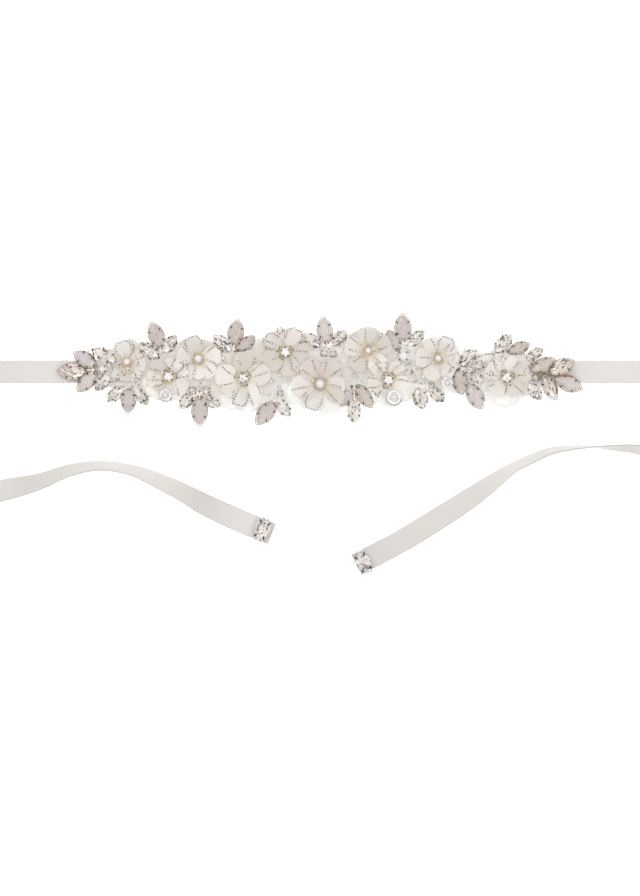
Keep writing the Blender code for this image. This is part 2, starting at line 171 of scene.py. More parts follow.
class Graph:
    # What a material and a Geometry Nodes group share. A node gives one of its outputs.
    def feed(self, socket, value):
        if isinstance(value, Socket):
            self.tree.links.new(value.link, socket)
        else:
            socket.default_value = opaque(value) if isinstance(value, tuple) else value

    def node(self, kind, settings=None, inputs=None, output=0):
        made = self.tree.nodes.new(kind)
        for label, value in (settings or {}).items():
            setattr(made, label, value)
        for label, value in (inputs or {}).items():
            self.feed(made.inputs[label], value)
        return Socket(self, made.outputs[output])

    def axes(self, vector):
        split = self.node("ShaderNodeSeparateXYZ", None, {0: vector}).link.node
        return [Socket(self, output) for output in split.outputs]


class Look(Graph):
    # A material with one Principled shader. Fixed values go on its own sockets.
    def __init__(self, name, fixed):
        self.material = bpy.data.materials.new(name)
        self.material.use_nodes = True
        self.tree = self.material.node_tree
        self.shader = self.tree.nodes["Principled BSDF"]
        self.wear(fixed)

    def wear(self, values):
        for label, value in values.items():
            self.feed(self.shader.inputs[label], value)

    def place(self):
        return self.node("ShaderNodeTexCoord", output="Object")

    def unwrapped(self):
        return self.axes(self.node("ShaderNodeUVMap", {"uv_map": "UVMap"}))[:2]

    def noise(self, scale, detail):
        inputs = {"Vector": self.place(), "Scale": scale, "Detail": detail}
        return self.node("ShaderNodeTexNoise", None, inputs)

    def attribute(self, name):
        return self.node("ShaderNodeAttribute", {"attribute_name": name}, output="Fac")

    def mixed(self, share, first, second, blend="MIX"):
        settings = {"data_type": "RGBA", "blend_type": blend}
        return self.node("ShaderNodeMix", settings, {0: share, 6: first, 7: second}, 2)

    def ramp(self, stops, share):
        made = self.node("ShaderNodeValToRGB", None, {"Fac": share})
        elements = made.link.node.color_ramp.elements
        for place, colour in stops[1:-1]:
            elements.new(place).color = opaque(colour)
        for end in (0, -1):
            elements[end].position = stops[end][0]
            elements[end].color = opaque(stops[end][1])
        return made

    def bumped(self, height, distance, strength):
        inputs = {"Height": height, "Distance": distance, "Strength": strength}
        return self.node("ShaderNodeBump", None, inputs)


satin = {
    "colour": (0.558, 0.536, 0.513),
    "shade": (0.526, 0.502, 0.476),
    # deep: the colour of the painted shade where the ribbon turns away from the light
    "deep": (0.415, 0.395, 0.360),
    "threadPitch": 0.32,         # mm
    "edge": 5.7,                 # mm from the middle, where the paler woven edge ends
    "rough": 0.42,
    "sheen": 0.25,
    # The glow is painted light: emission in the cloth's own colour that lifts its shade.
    "glow": 0.22,
}


def satinLook():
    # The run of the ribbon carries a painted shade, from 0 to 1, where it turns away from the light. It
    # darkens the colour toward the deep one.
    look = Look("ivorySatin", {"Sheen Weight": satin["sheen"], "Sheen Roughness": 0.4,
                               "Emission Strength": satin["glow"]})
    across, along = look.unwrapped()
    turn = 2 * math.pi / satin["threadPitch"]
    warp = (across * turn).sine()
    weft = (along * (turn * 0.8)).sine()
    cloud = look.noise(38.0, 3.0)
    tint = ((cloud - 0.35) * 1.6).held()
    edge = ((across.size() - satin["edge"]) * 2.4).held()
    colour = look.mixed(tint * 0.8 + edge * 0.2, satin["colour"], satin["shade"])
    colour = look.mixed(look.attribute("shade"), colour, satin["deep"])
    look.wear({
        "Base Color": colour,
        "Emission Color": colour,
        "Roughness": cloud * 0.12 + (satin["rough"] - 0.06),
        "Normal": look.bumped(warp * weft * 0.5 + cloud * 0.6, 0.00006, 0.5),
    })
    return look.material


def selvedgeLook():
    look = Look("selvedgeStitch", {"Sheen Weight": 0.2})
    cloud = look.noise(600.0, 1.0)
    share = (cloud * 2.0 - 0.5).held()
    look.wear({
        "Base Color": look.mixed(share, (0.50, 0.480, 0.47), (0.38, 0.365, 0.36)),
        "Roughness": cloud * 0.2 + 0.5,
    })
    return look.material


petalCloth = {
    # rim, body and root of a petal, alpha, how much the rim loses of it, glow. A petal has two faces,
    # so light passes where both let it, and glow stands for the light that comes through.
    "organza": ((0.73, 0.710, 0.698), (0.625, 0.600, 0.582), (0.60, 0.562, 0.528), 0.68, 0.20, 0.34),
    "white": ((0.70, 0.698, 0.692), (0.580, 0.566, 0.550), (0.550, 0.522, 0.485), 0.62, 0.22, 0.34),
    "blush": ((0.600, 0.564, 0.544), (0.535, 0.500, 0.478), (0.505, 0.460, 0.418), 0.80, 0.14, 0.34),
    "light": ((0.76, 0.746, 0.728), (0.665, 0.645, 0.620), (0.62, 0.590, 0.550), 0.72, 0.18, 0.38),
    "sheer": ((0.70, 0.690, 0.672), (0.615, 0.595, 0.570), (0.530, 0.495, 0.450), 0.64, 0.20, 0.36),
    "gauze": ((0.93, 0.950, 0.97), (0.725, 0.735, 0.745), (0.600, 0.580, 0.555), 0.74, -0.20, 0.46),
}
petalWear = {
    "thread": 0.42,              # mm
    "thin": 0.26,                # alpha lost at the cut edge
    # painted highlight: share of the rim's tone in paler patches where the cloth bends
    "paintedHighlight": 0.45,               # share of the rim's tone in paler patches where the cloth bends
    # painted shade: share of the root's tone in darker patches where the cloth bends
    "paintedFoldShade": 0.35,                # share of the root's tone in darker ones
}


def petalLook(name):
    rimTone, bodyTone, rootTone, alpha, sheer, glow = petalCloth[name]
    look = Look(name + "Petal", {"Sheen Weight": 0.3, "Sheen Roughness": 0.35, "Emission Strength": glow})
    across, outward = look.unwrapped()
    x, y = look.axes(look.place())[:2]
    turn = 2 * math.pi / (petalWear["thread"] * mm)
    weave = (x * turn).sine() * (y * turn).sine()
    cloud = look.noise(150.0, 3.0)
    patch = look.noise(60.0, 1.0)
    vein = (across * 34.0 + cloud * 5.0).sine()
    rim = (outward * 2.2 - 1.1 + (cloud - 0.5) * 1.2).held()
    root = (1.0 - outward * 2.6).held()
    shade = look.mixed(root, look.mixed(rim, bodyTone, rimTone), rootTone)
    # Painted shade and painted highlight, in cloudy patches where the cloth bends.
    paintedFoldShade = ((patch - 0.42) * 2.8).held()
    paintedHighlight = ((0.46 - patch) * 4.0).held()
    colour = look.mixed(paintedFoldShade * petalWear["paintedFoldShade"], shade, rootTone)
    colour = look.mixed(paintedHighlight * petalWear["paintedHighlight"], colour, rimTone)
    thin = ((outward - 0.84 + (cloud - 0.5) * 0.2) * 6.0).held()
    look.wear({
        "Base Color": colour,
        "Emission Color": colour,
        "Roughness": cloud * 0.2 + 0.38,
        "Alpha": alpha - rim * sheer - thin * petalWear["thin"],
        "Normal": look.bumped(weave * 0.35 + vein * 0.5 + cloud * 2.0, 0.00012, 0.6),
    })
    return look.material


netCloth = {
    # light tone, shaded tone, alpha, how much the frayed edge loses of it, glow. The glow is painted light
    # that stands for the light coming through the cloth.
    "netScrap": ((0.74, 0.735, 0.722), (0.65, 0.640, 0.620), 0.50, 0.10, 0.38),
    "stiffOrganza": ((0.615, 0.592, 0.562), (0.545, 0.518, 0.483), 0.90, 0.35, 0.30),
}
netEdge = (0.67, 0.660, 0.645)
netMesh = 0.8                    # mm


def netLook(name):
    light, shaded, alpha, frayed, glow = netCloth[name]
    look = Look(name, {"Roughness": 0.6, "Sheen Weight": 0.3, "Emission Strength": glow})
    across = look.unwrapped()[1]
    x, y = look.axes(look.place())[:2]
    turn = math.pi / (netMesh * mm)
    strand = ((x + y) * turn).sine().size() * ((x - y) * turn).sine().size()
    cloud = look.noise(90.0, 3.0)
    edge = (((across * 2.0 - 1.0).size() - 0.76 + (cloud - 0.5) * 0.25) * 5.0).held()
    colour = look.mixed((cloud * 1.6 - 0.4).held(), light, shaded)
    colour = look.mixed(edge, colour, netEdge)
    look.wear({
        "Base Color": colour,
        "Emission Color": colour,
        "Alpha": (alpha + 0.25 - strand * 0.4 - edge * frayed).held(),
        "Normal": look.bumped(cloud * 1.5 - strand * 0.5, 0.00015, 0.6),
    })
    return look.material


stoneGlass = {
    # dark facet, light facet, share of the facet tone that shows, roughness, metallic, glow. Glow
    # stands for the light that the cut throws back.
    "clear": ((0.10, 0.08, 0.065), (0.82, 0.790, 0.755), 1.0, 0.06, 0.20, 0.04),
    "brilliant": ((0.36, 0.32, 0.30), (0.92, 0.890, 0.89), 1.0, 0.06, 0.10, 0.15),
    "champagne": ((0.14, 0.10, 0.075), (0.80, 0.715, 0.66), 1.0, 0.06, 0.20, 0.04),
    "opal": ((0.34, 0.285, 0.255), (0.555, 0.488, 0.450), 1.0, 0.30, 0.0, 0.03),
    "paleOpal": ((0.375, 0.322, 0.293), (0.616, 0.550, 0.520), 1.0, 0.30, 0.0, 0.03),
    "moonstone": ((0.60, 0.57, 0.53), (0.80, 0.77, 0.73), 0.8, 0.20, 0.0, 0.05),
}
stoneFire = {
    # what a facet's own number, from 0 to 1, does to its colour: painted fire, flashes of coloured light,
    # on a cut stone, and a tint on a milky one
    "cut": [(0.0, (1.0, 0.88, 0.85)), (0.25, (1.0, 0.99, 0.97)), (0.5, (1.0, 0.95, 0.90)),
            (0.75, (0.93, 0.96, 1.0)), (1.0, (1.0, 0.97, 0.86))],
    "milky": [(0.0, (1.0, 0.975, 0.92)), (0.5, (1.0, 1.0, 1.0)), (1.0, (0.98, 0.985, 1.06))],
}


def stoneLook(name):
    dark, light, share, rough, metallic, glow = stoneGlass[name]
    look = Look(name + "Stone", {"Metallic": metallic, "Coat Weight": 0.6, "Coat Roughness": 0.05,
                                 "IOR": 1.55, "Emission Strength": glow})
    milky = name in ("opal", "paleOpal", "moonstone")
    cloud = look.noise(260.0 if milky else 700.0, 2.0)
    # The facets' tones are painted reflections, and on a cut stone their fire is painted flashes of
    # coloured light.
    level = (look.attribute("tone") * share + (cloud - 0.5) * 0.35).held()
    hue = look.ramp(stoneFire["milky" if milky else "cut"], look.attribute("fire"))
    colour = look.mixed(1.0, look.mixed(level, dark, light), hue, "MULTIPLY")
    look.wear({"Base Color": colour, "Emission Color": colour, "Roughness": cloud * 0.08 + rough})
    return look.material


metalWear = {
    # polished colour, worn colour, roughness, metallic. On beads the worn colour is also painted shade.
    "agedSilver": ((0.87, 0.810, 0.730), (0.42, 0.355, 0.290), 0.30, 0.5),
    "paleSilver": ((0.95, 0.920, 0.870), (0.60, 0.540, 0.470), 0.30, 0.40),
    "darkClaw": ((0.12, 0.09, 0.07), (0.05, 0.038, 0.03), 0.40, 0.8),
    "brownMetal": ((0.36, 0.25, 0.165), (0.12, 0.078, 0.048), 0.42, 0.5),
    "darkLine": ((0.31, 0.240, 0.18), (0.12, 0.090, 0.064), 0.42, 0.5),
    "brightSilver": ((0.80, 0.79, 0.77), (0.34, 0.33, 0.32), 0.22, 0.8),
    "goldWire": ((0.92, 0.81, 0.62), (0.66, 0.55, 0.36), 0.28, 0.45),
    "goldSeed": ((0.95, 0.86, 0.69), (0.58, 0.47, 0.30), 0.28, 0.35),
    "oliveSeed": ((0.62, 0.56, 0.36), (0.24, 0.19, 0.10), 0.28, 0.6),
    "silverSeed": ((0.95, 0.93, 0.90), (0.27, 0.235, 0.20), 0.25, 0.2),
    "peachGold": ((0.86, 0.73, 0.62), (0.66, 0.52, 0.38), 0.35, 0.3),
    "creamStem": ((0.84, 0.79, 0.72), (0.56, 0.49, 0.41), 0.35, 0.5),
}


def metalLook(name):
    # Beads carry their own wear, from 0 to 1, and everything else has 0. On beads it is painted shade on
    # every second one, which stands for the dark side of a lit bead.
    bright, worn, rough, metallic = metalWear[name]
    look = Look(name, {"Metallic": metallic})
    cloud = look.noise(520.0, 3.0)
    wear = ((cloud - 0.40) * 3.2 + look.attribute("wear")).held()
    look.wear({
        "Base Color": look.mixed(wear, bright, worn),
        "Roughness": wear * 0.2 + rough,
        "Normal": look.bumped(cloud, 0.00005, 0.4),
    })
    return look.material


def pearlLook():
    # A pearl gets painted light: a painted highlight where it faces up and painted shade round its sides.
    look = Look("ivoryPearl", {"Coat Weight": 0.8, "Coat Roughness": 0.06})
    cloud = look.noise(240.0, 2.0)
    upward = look.axes(look.node("ShaderNodeNewGeometry", output="Normal"))[2]
    crown = ((upward - 0.45) * 1.9 + (cloud - 0.5) * 0.5).held()
    look.wear({
        "Base Color": look.mixed(crown, (0.53, 0.465, 0.450), (0.76, 0.715, 0.715)),
        "Roughness": cloud * 0.1 + 0.14,
        "Normal": look.bumped(cloud, 0.00003, 0.3),
    })
    return look.material


def shellLook():
    # Its glow is painted light that lifts the shell's shade.
    look = Look("sequinShell", {"Coat Weight": 0.8, "Coat Roughness": 0.1, "Emission Strength": 0.15})
    cloud = look.noise(300.0, 2.0)
    colour = look.mixed((cloud * 2.0 - 0.5).held(), (0.93, 0.93, 0.92), (0.80, 0.81, 0.80))
    look.wear({
        "Base Color": colour,
        "Emission Color": colour,
        "Roughness": cloud * 0.1 + 0.16,
        "Alpha": 0.92 - cloud * 0.25,
    })
    return look.material


def floorLook():
    look = Look("paleFloor", {"Roughness": studio["floorRough"], "Emission Strength": studio["floorGlow"],
                              "Specular IOR Level": studio["floorShine"]})
    look.wear({"Base Color": studio["floorColour"], "Emission Color": (1.0, 1.0, 1.0)})
    return look.material


finishes = {
    "satin": satinLook(),
    "selvedge": selvedgeLook(),
    "net": netLook("netScrap"),
    "backing": netLook("stiffOrganza"),
    "pearl": pearlLook(),
    "shell": shellLook(),
    **{name: petalLook(name) for name in petalCloth},
    **{name: stoneLook(name) for name in stoneGlass},
    **{name: metalLook(name) for name in metalWear},
}
print("finishes made:", len(finishes))


def layFloor():
    half = studio["floorSize"] / 2
    mesh = bpy.data.meshes.new("floor")
    corners = [(-half, -half, 0), (half, -half, 0), (half, half, 0), (-half, half, 0)]
    mesh.from_pydata(corners, [], [(0, 1, 2, 3)])
    mesh.materials.append(floorLook())
    placed("floor", mesh)


layFloor()


def newPiece(name, bm, looks, smoothAngle=40):
    # Turns the closed shape in bm, in millimetres, into an object in metres. At angle 0 it is faceted.
    bmesh.ops.scale(bm, vec=(mm, mm, mm), verts=bm.verts)
    mesh = bpy.data.meshes.new(name)
    bm.to_mesh(mesh)
    bm.free()
    for look in looks:
        mesh.materials.append(finishes[look])
    if smoothAngle:
        mesh.shade_smooth()
    if 0 < smoothAngle < 180:
        mesh.set_sharp_from_angle(angle=math.radians(smoothAngle))
    return placed(name, mesh)


def around(x, y, radius, angle):
    # Point of a circle in plan.
    return x + radius * math.cos(angle), y + radius * math.sin(angle)


def loft(bm, rings, look=0):
    # Joins rings that have the same number of points, and caps the two ends.
    made = [[bm.verts.new(point) for point in ring] for ring in rings]
    count = len(made[0])
    faces = []
    for lower, upper in zip(made, made[1:]):
        for i in range(count):
            j = (i + 1) % count
            faces.append(bm.faces.new((lower[i], lower[j], upper[j], upper[i])))
    faces.append(bm.faces.new(list(reversed(made[0]))))
    faces.append(bm.faces.new(made[-1]))
    for face in faces:
        face.material_index = look


def rides(piece, nodes=()):
    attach(piece, "root")
    if nodes:
        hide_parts(*nodes)
    return piece


class Tree(Graph):
    # A Geometry Nodes group with named inputs, each given as its socket type and default.
    def __init__(self, name, inputs):
        self.tree = bpy.data.node_groups.new(name, "GeometryNodeTree")
        face = self.tree.interface
        face.new_socket("Geometry", in_out="INPUT", socket_type="NodeSocketGeometry")
        self.ids = {}
        for label, (kind, value) in inputs.items():
            made = face.new_socket(label, in_out="INPUT", socket_type="NodeSocket" + kind)
            if value is not None:
                made.default_value = value
            self.ids[label] = made.identifier
        face.new_socket("Geometry", in_out="OUTPUT", socket_type="NodeSocketGeometry")
        self.start = self.tree.nodes.new("NodeGroupInput")
        self.stop = self.tree.nodes.new("NodeGroupOutput")

    def given(self, label):
        return Socket(self, self.start.outputs[label])

    def named(self, label):
        return self.node("GeometryNodeInputNamedAttribute", {"data_type": "FLOAT"}, {"Name": label})

    def vector(self, x, y, z):
        return self.node("ShaderNodeCombineXYZ", None, {"X": x, "Y": y, "Z": z})

    def scaled(self, vector, scale):
        return self.node("ShaderNodeVectorMath", {"operation": "SCALE"}, {0: vector, "Scale": scale})

    def ball(self, segments, rings):
        ball = self.node("GeometryNodeMeshUVSphere", None,
                         {"Segments": segments, "Rings": rings, "Radius": 1.0})
        return self.node("GeometryNodeSetShadeSmooth", None, {"Geometry": ball})

    def captured(self, curve, value):
        # A curve, and a value of its points that outlasts the sweep.
        kept = self.node("GeometryNodeCaptureAttribute", None, {"Geometry": curve}).link.node
        kept.capture_items.new("FLOAT", "Kept")
        self.feed(kept.inputs["Kept"], value)
        return Socket(self, kept.outputs["Geometry"]), Socket(self, kept.outputs["Kept"])

    def finish(self, geometry):
        # Every tree ends in Realize Instances and Set Material.
        real = self.node("GeometryNodeRealizeInstances", None, {"Geometry": geometry})
        dressed = self.node("GeometryNodeSetMaterial", None,
                            {"Geometry": real, "Material": self.given("Material")})
        self.feed(self.stop.inputs["Geometry"], dressed)


def grow(name, runs, tree, values, attributes=None):
    # Lays runs of points, in millimetres, as edges and lets the tree grow one plain mesh along them.
    # A run is its list of points and whether it closes. Attributes give one number for each point.
    points = []
    edges = []
    for run, closed in runs:
        first = len(points)
        points += [tuple(c * mm for c in point) for point in run]
        edges += [(first + i, first + i + 1) for i in range(len(run) - 1)]
        if closed:
            edges.append((len(points) - 1, first))
    mesh = bpy.data.meshes.new(name + "Path")
    mesh.from_pydata(points, edges, [])
    for label, numbers in (attributes or {}).items():
        layer = mesh.attributes.new(label, "FLOAT", "POINT")
        layer.data.foreach_set("value", numbers)
    path = placed(name + "Path", mesh)
    modifier = path.modifiers.new("grow", "NODES")
    modifier.node_group = tree.tree
    for label, value in values.items():
        modifier[tree.ids[label]] = value
    graph = bpy.context.evaluated_depsgraph_get()
    grown = bpy.data.meshes.new_from_object(path.evaluated_get(graph), depsgraph=graph)
    path.modifiers.clear()
    bpy.data.objects.remove(path)
    bpy.data.meshes.remove(mesh)
    grown.name = name
    return placed(name, grown)


def beadTree():
    # Strings beads, or stitches when Stretch is over 1, along each run.
    tree = Tree("beadRow", {
        "Bead Radius": ("Float", 0.0004), "Spacing": ("Float", 0.001), "Stretch": ("Float", 1.0),
        "Variation": ("Float", 0.1), "Seed": ("Int", 0), "Painted Dot Shade": ("Float", 0.0), "Facets": ("Int", 8),
        "Material": ("Material", None)})
    curve = tree.node("GeometryNodeMeshToCurve", None, {"Mesh": tree.given("Geometry")})
    spaced = tree.node("GeometryNodeResampleCurve", {"mode": "LENGTH"},
                       {"Curve": curve, "Length": tree.given("Spacing")})
    ball = tree.ball(tree.given("Facets"), tree.given("Facets") * 0.65)
    variation = tree.given("Variation")
    chance = tree.node("FunctionNodeRandomValue", {"data_type": "FLOAT"},
                       {2: 1.0 - variation, 3: 1.0 + variation, "Seed": tree.given("Seed")}, 1)
    scale = tree.scaled(tree.vector(tree.given("Stretch"), 1.0, 1.0), chance * tree.given("Bead Radius"))
    heading = tree.node("GeometryNodeInputTangent")
    turned = tree.node("FunctionNodeAlignRotationToVector", {"axis": "X"}, {"Vector": heading})
    strung = tree.node("GeometryNodeInstanceOnPoints", None,
                       {"Points": spaced, "Instance": ball, "Rotation": turned, "Scale": scale})
    # Every second bead gets the worn colour, a painted shade, so a string shows as dark and light dots as
    # if each bead had a highlight and a shaded side.
    worn = tree.node("GeometryNodeInputIndex").maths("MODULO", 2.0) * tree.given("Painted Dot Shade")
    marked = tree.node("GeometryNodeStoreNamedAttribute", {"data_type": "FLOAT", "domain": "INSTANCE"},
                       {"Geometry": strung, "Name": "wear", "Value": worn})
    tree.finish(marked)
    return tree


def wireTree():
    # Sweeps a round wire along each run. The girth attribute thins it, and tip places end beads.
    tree = Tree("wireRun", {
        "Wire Radius": ("Float", 0.0003), "Tip Radius": ("Float", 0.0), "Sides": ("Int", 6),
        "Material": ("Material", None)})
    curve = tree.node("GeometryNodeMeshToCurve", None, {"Mesh": tree.given("Geometry")})
    ring = tree.node("GeometryNodeCurvePrimitiveCircle", None,
                     {"Resolution": tree.given("Sides"), "Radius": 1.0})
    swept = tree.node("GeometryNodeCurveToMesh", None, {
        "Curve": curve, "Profile Curve": ring, "Fill Caps": True,
        "Scale": tree.named("girth") * tree.given("Wire Radius")})
    swept = tree.node("GeometryNodeSetShadeSmooth", None, {"Geometry": swept})
    isTip = tree.node("FunctionNodeCompare", {"data_type": "FLOAT", "operation": "GREATER_THAN"},
                      {0: tree.named("tip"), 1: 0.5})
    size = tree.given("Tip Radius")
    tips = tree.node("GeometryNodeInstanceOnPoints", None, {
        "Points": curve, "Selection": isTip, "Instance": tree.ball(8, 5),
        "Scale": tree.vector(size, size, size)})
    both = tree.node("GeometryNodeJoinGeometry", None, {"Geometry": swept})
    tree.feed(both.link.node.inputs["Geometry"], tips)
    tree.finish(both)
    return tree


def ribbonTree():
    # Sweeps the flat ribbon along each run, turned by the roll attribute, with soft troughs.
    tree = Tree("ribbonSweep", {
        "Width": ("Float", 0.0127), "Wall": ("Float", 0.0008), "Ripple": ("Float", 0.0001),
        "Seed": ("Float", 0.0), "Material": ("Material", None)})
    curve = tree.node("GeometryNodeMeshToCurve", None, {"Mesh": tree.given("Geometry")})
    flat = tree.node("GeometryNodeSetCurveNormal", {"mode": "Z_UP"}, {"Curve": curve})
    tilted = tree.node("GeometryNodeSetCurveTilt", None, {"Curve": flat, "Tilt": tree.named("roll")})
    line, run = tree.captured(tilted, tree.named("run"))
    outline = tree.node("GeometryNodeCurvePrimitiveQuadrilateral", None,
                        {"Width": tree.given("Width"), "Height": tree.given("Wall")})
    rounded = tree.node("GeometryNodeFilletCurve", {"mode": "POLY"},
                        {"Curve": outline, "Radius": tree.given("Wall") * 0.45, "Count": 2})
    fine = tree.node("GeometryNodeResampleCurve", {"mode": "LENGTH"}, {"Curve": rounded, "Length": 0.0006})
    spot = tree.node("GeometryNodeInputPosition")
    profile, side = tree.captured(fine, tree.axes(spot)[0])
    swept = tree.node("GeometryNodeCurveToMesh", None,
                      {"Curve": line, "Profile Curve": profile, "Fill Caps": True})
    mapped = tree.node("GeometryNodeStoreNamedAttribute", {"data_type": "FLOAT2", "domain": "CORNER"}, {
        "Geometry": swept, "Name": "UVMap",
        "Value": tree.scaled(tree.vector(side, run, 0.0), 1.0 / mm)})
    noise = tree.node("ShaderNodeTexNoise", {"noise_dimensions": "4D"},
                      {"Vector": spot, "W": tree.given("Seed"), "Scale": 55.0, "Detail": 1.0})
    push = tree.scaled(tree.node("GeometryNodeInputNormal"), (noise - 0.5) * tree.given("Ripple"))
    rippled = tree.node("GeometryNodeSetPosition", None, {"Geometry": mapped, "Offset": push})
    # The edge that stands on the floor stays on it.
    x, y, z = tree.axes(tree.node("GeometryNodeInputPosition"))
    stood = tree.vector(x, y, z.maths("MAXIMUM", 0.02 * mm))
    tree.finish(tree.node("GeometryNodeSetPosition", None, {"Geometry": rippled, "Position": stood}))
    return tree


beadRow = beadTree()
wireRun = wireTree()
ribbonSweep = ribbonTree()


def beads(name, runs, radius, spacing, look, seed=0, stretch=1.0, variation=0.1, wear=1.0, facets=8):
    return grow(name, runs, beadRow, {
        "Bead Radius": radius * mm, "Spacing": spacing * mm, "Stretch": stretch, "Variation": variation,
        "Seed": seed, "Painted Dot Shade": wear, "Facets": facets, "Material": finishes[look]})


def wires(name, runs, radius, look, tipRadius=0.0, taper=0.0, sides=6):
    # Each run starts at its root, and its last point carries the tip where there is one.
    girth = []
    tip = []
    for run, closed in runs:
        last = len(run) - 1
        girth += [1.0 - taper * i / last for i in range(len(run))]
        tip += [0.0] * last + [1.0 if tipRadius else 0.0]
    return grow(name, runs, wireRun, {
        "Wire Radius": radius * mm, "Tip Radius": tipRadius * mm, "Sides": sides,
        "Material": finishes[look]}, {"girth": girth, "tip": tip})


ribbon = {
    "width": 12.7,
    "wall": 1.0,                 # the solid's wall, which sets the height of the middle line
    "cloth": 0.98,               # the cloth's own thickness
    "facet": 2.5,
    "ripple": 0.35,
    "centreHalf": 181.0,
    "seam": 0.02,
    "stitchPitch": 2.2,
    "stitchRadius": 0.34,
    "stitchInset": 0.12,
}
# Middle line from the cut end to the flat stretch: x, y, roll, shade. The shade is painted shade, from 0 to
# 1, where the ribbon turns away from the light.
leftTail = [
    (-27.1, -91.8, 8, 0.30), (-45.0, -84.5, 6, 0.10), (-56.0, -79.5, 13, 0.32), (-65.9, -74.6, 24, 0.55),
    (-76.0, -69.0, 37, 0.28), (-86.8, -63.7, 46, 0.08), (-107.6, -55.3, 64, 0.06),
    (-125.4, -53.3, 66, 0.30),
    (-139.0, -55.3, 59, 0.42), (-159.9, -62.6, 41, 0.45),
]
leftLoop = [
    (-181.0, -67.5, 18, 0.40), (-215.0, -76.5, 44, 0.4), (-258.0, -91.0, 76, 0.2), (-312.0, -89.0, 90, 0.0),
    (-355.0, -54.0, 90, 0.0), (-366.0, 2.0, 90, 0.0), (-335.0, 56.0, 90, 0.0), (-286.0, 73.0, 90, 0.0),
    (-241.0, 50.0, 82, 0.0), (-210.0, 14.0, 42, 0.0), (-181.0, 0.0, 0, 0.15),
]
rightTail = [
    (20.5, -109.2, 0, 0.60), (43.7, -97.2, 1, 0.34), (65.4, -84.1, 12, 0.34), (87.0, -70.0, 31, 0.30),
    (97.7, -62.3, 47, 0.12), (108.6, -54.5, 65, 0.12), (119.4, -49.2, 68, 0.18), (130.2, -44.8, 73, 0.30),
    (141.0, -43.1, 80, 0.25), (151.8, -42.3, 85, 0.15), (162.6, -42.8, 99, 0.55),
]
rightLoop = [
    (181.0, -44.3, 113, 0.55), (222.0, -66.0, 108, 0.4), (264.0, -93.0, 96, 0.2), (314.0, -90.0, 90, 0.0),
    (356.0, -54.0, 90, 0.0), (366.0, 2.0, 90, 0.0), (335.0, 56.0, 90, 0.0), (286.0, 73.0, 90, 0.0),
    (241.0, 50.0, 82, 0.0), (210.0, 14.0, 42, 0.0), (181.0, 0.0, 0, 0.0),
]


def smoothRows(rows, step, endSlope=None):
    # Points of a smooth curve through the rows, about one step apart.
    knots = [0.0]
    for a, b in zip(rows, rows[1:]):
        knots.append(knots[-1] + math.hypot(b[0] - a[0], b[1] - a[1]))
    secants = [[(q - p) / (knots[i + 1] - knots[i]) for p, q in zip(rows[i], rows[i + 1])]
               for i in range(len(rows) - 1)]
    slopes = [secants[0]]
    for i in range(1, len(rows) - 1):
        before = knots[i] - knots[i - 1]
        after = knots[i + 1] - knots[i]
        slopes.append([(p * after + q * before) / (before + after)
                       for p, q in zip(secants[i - 1], secants[i])])
    slopes.append(list(endSlope) if endSlope else secants[-1])
    points = [tuple(rows[0])]
    for i in range(len(rows) - 1):
        span = knots[i + 1] - knots[i]
        parts = max(1, round(span / step))
        for part in range(1, parts + 1):
            t = part / parts
            lead = (2 * t ** 3 - 3 * t ** 2 + 1, (t ** 3 - 2 * t ** 2 + t) * span)
            tail = (3 * t ** 2 - 2 * t ** 3, (t ** 3 - t ** 2) * span)
            points.append(tuple(
                lead[0] * rows[i][k] + lead[1] * slopes[i][k]
                + tail[0] * rows[i + 1][k] + tail[1] * slopes[i + 1][k]
                for k in range(len(rows[0]))))
    return points


def ribbonFrame(points, index, hand):
    # Middle, direction, outward side and face normal of the ribbon at one point of its line.
    before = points[max(index - 1, 0)]
    after = points[min(index + 1, len(points) - 1)]
    along = Vector((after[0] - before[0], after[1] - before[1], 0.0)).normalized()
    if index == len(points) - 1:
        along = Vector((-hand, 0.0, 0.0))
    outward = Vector((-along.y, along.x, 0.0)) * hand
    roll = math.radians(points[index][2])
    side = outward * math.cos(roll) - Vector((0.0, 0.0, math.sin(roll)))
    normal = outward * math.sin(roll) + Vector((0.0, 0.0, math.cos(roll)))
    height = ribbon["width"] / 2 * math.sin(roll) + ribbon["wall"] / 2 * abs(math.cos(roll))
    return Vector((points[index][0], points[index][1], height)), along, side, normal


def ribbonPiece(name, frames, rolls, shades, seed):
    # Sweeps one stretch, and stitches its two woven edges.
    middles = [tuple(place[0]) for place in frames]
    run = [0.0]
    for a, b in zip(middles, middles[1:]):
        run.append(run[-1] + (Vector(b) - Vector(a)).length * mm)
    piece = grow(name.replace("ribbon", "satin"), [(middles, False)], ribbonSweep, {
        "Width": ribbon["width"] * mm, "Wall": ribbon["cloth"] * mm, "Ripple": ribbon["ripple"] * mm,
        "Seed": float(seed), "Material": finishes["satin"]}, {"roll": rolls, "run": run, "shade": shades})
    rides(piece, [name])
    edges = []
    lowest = ribbon["stitchRadius"] * 1.2
    for way in (-1, 1):
        reach = way * (ribbon["width"] / 2 - ribbon["stitchInset"])
        edge = [place[0] + place[2] * reach for place in frames]
        edges.append(([(x, y, max(z, lowest)) for x, y, z in edge], False))
    stitches = beads(name.replace("ribbon", "selvedge"), edges, ribbon["stitchRadius"],
                     ribbon["stitchPitch"], "selvedge", seed, stretch=1.9, variation=0.25, facets=6)
    rides(stitches)


def trimEnds(frames, first, last):
    # Draws the two ends of a stretch back from its neighbours by half a seam.
    made = [list(place) for place in frames]
    if first:
        made[0][0] = made[0][0] + made[0][1] * (ribbon["seam"] / 2)
    if last:
        made[-1][0] = made[-1][0] - made[-1][1] * (ribbon["seam"] / 2)
    return made


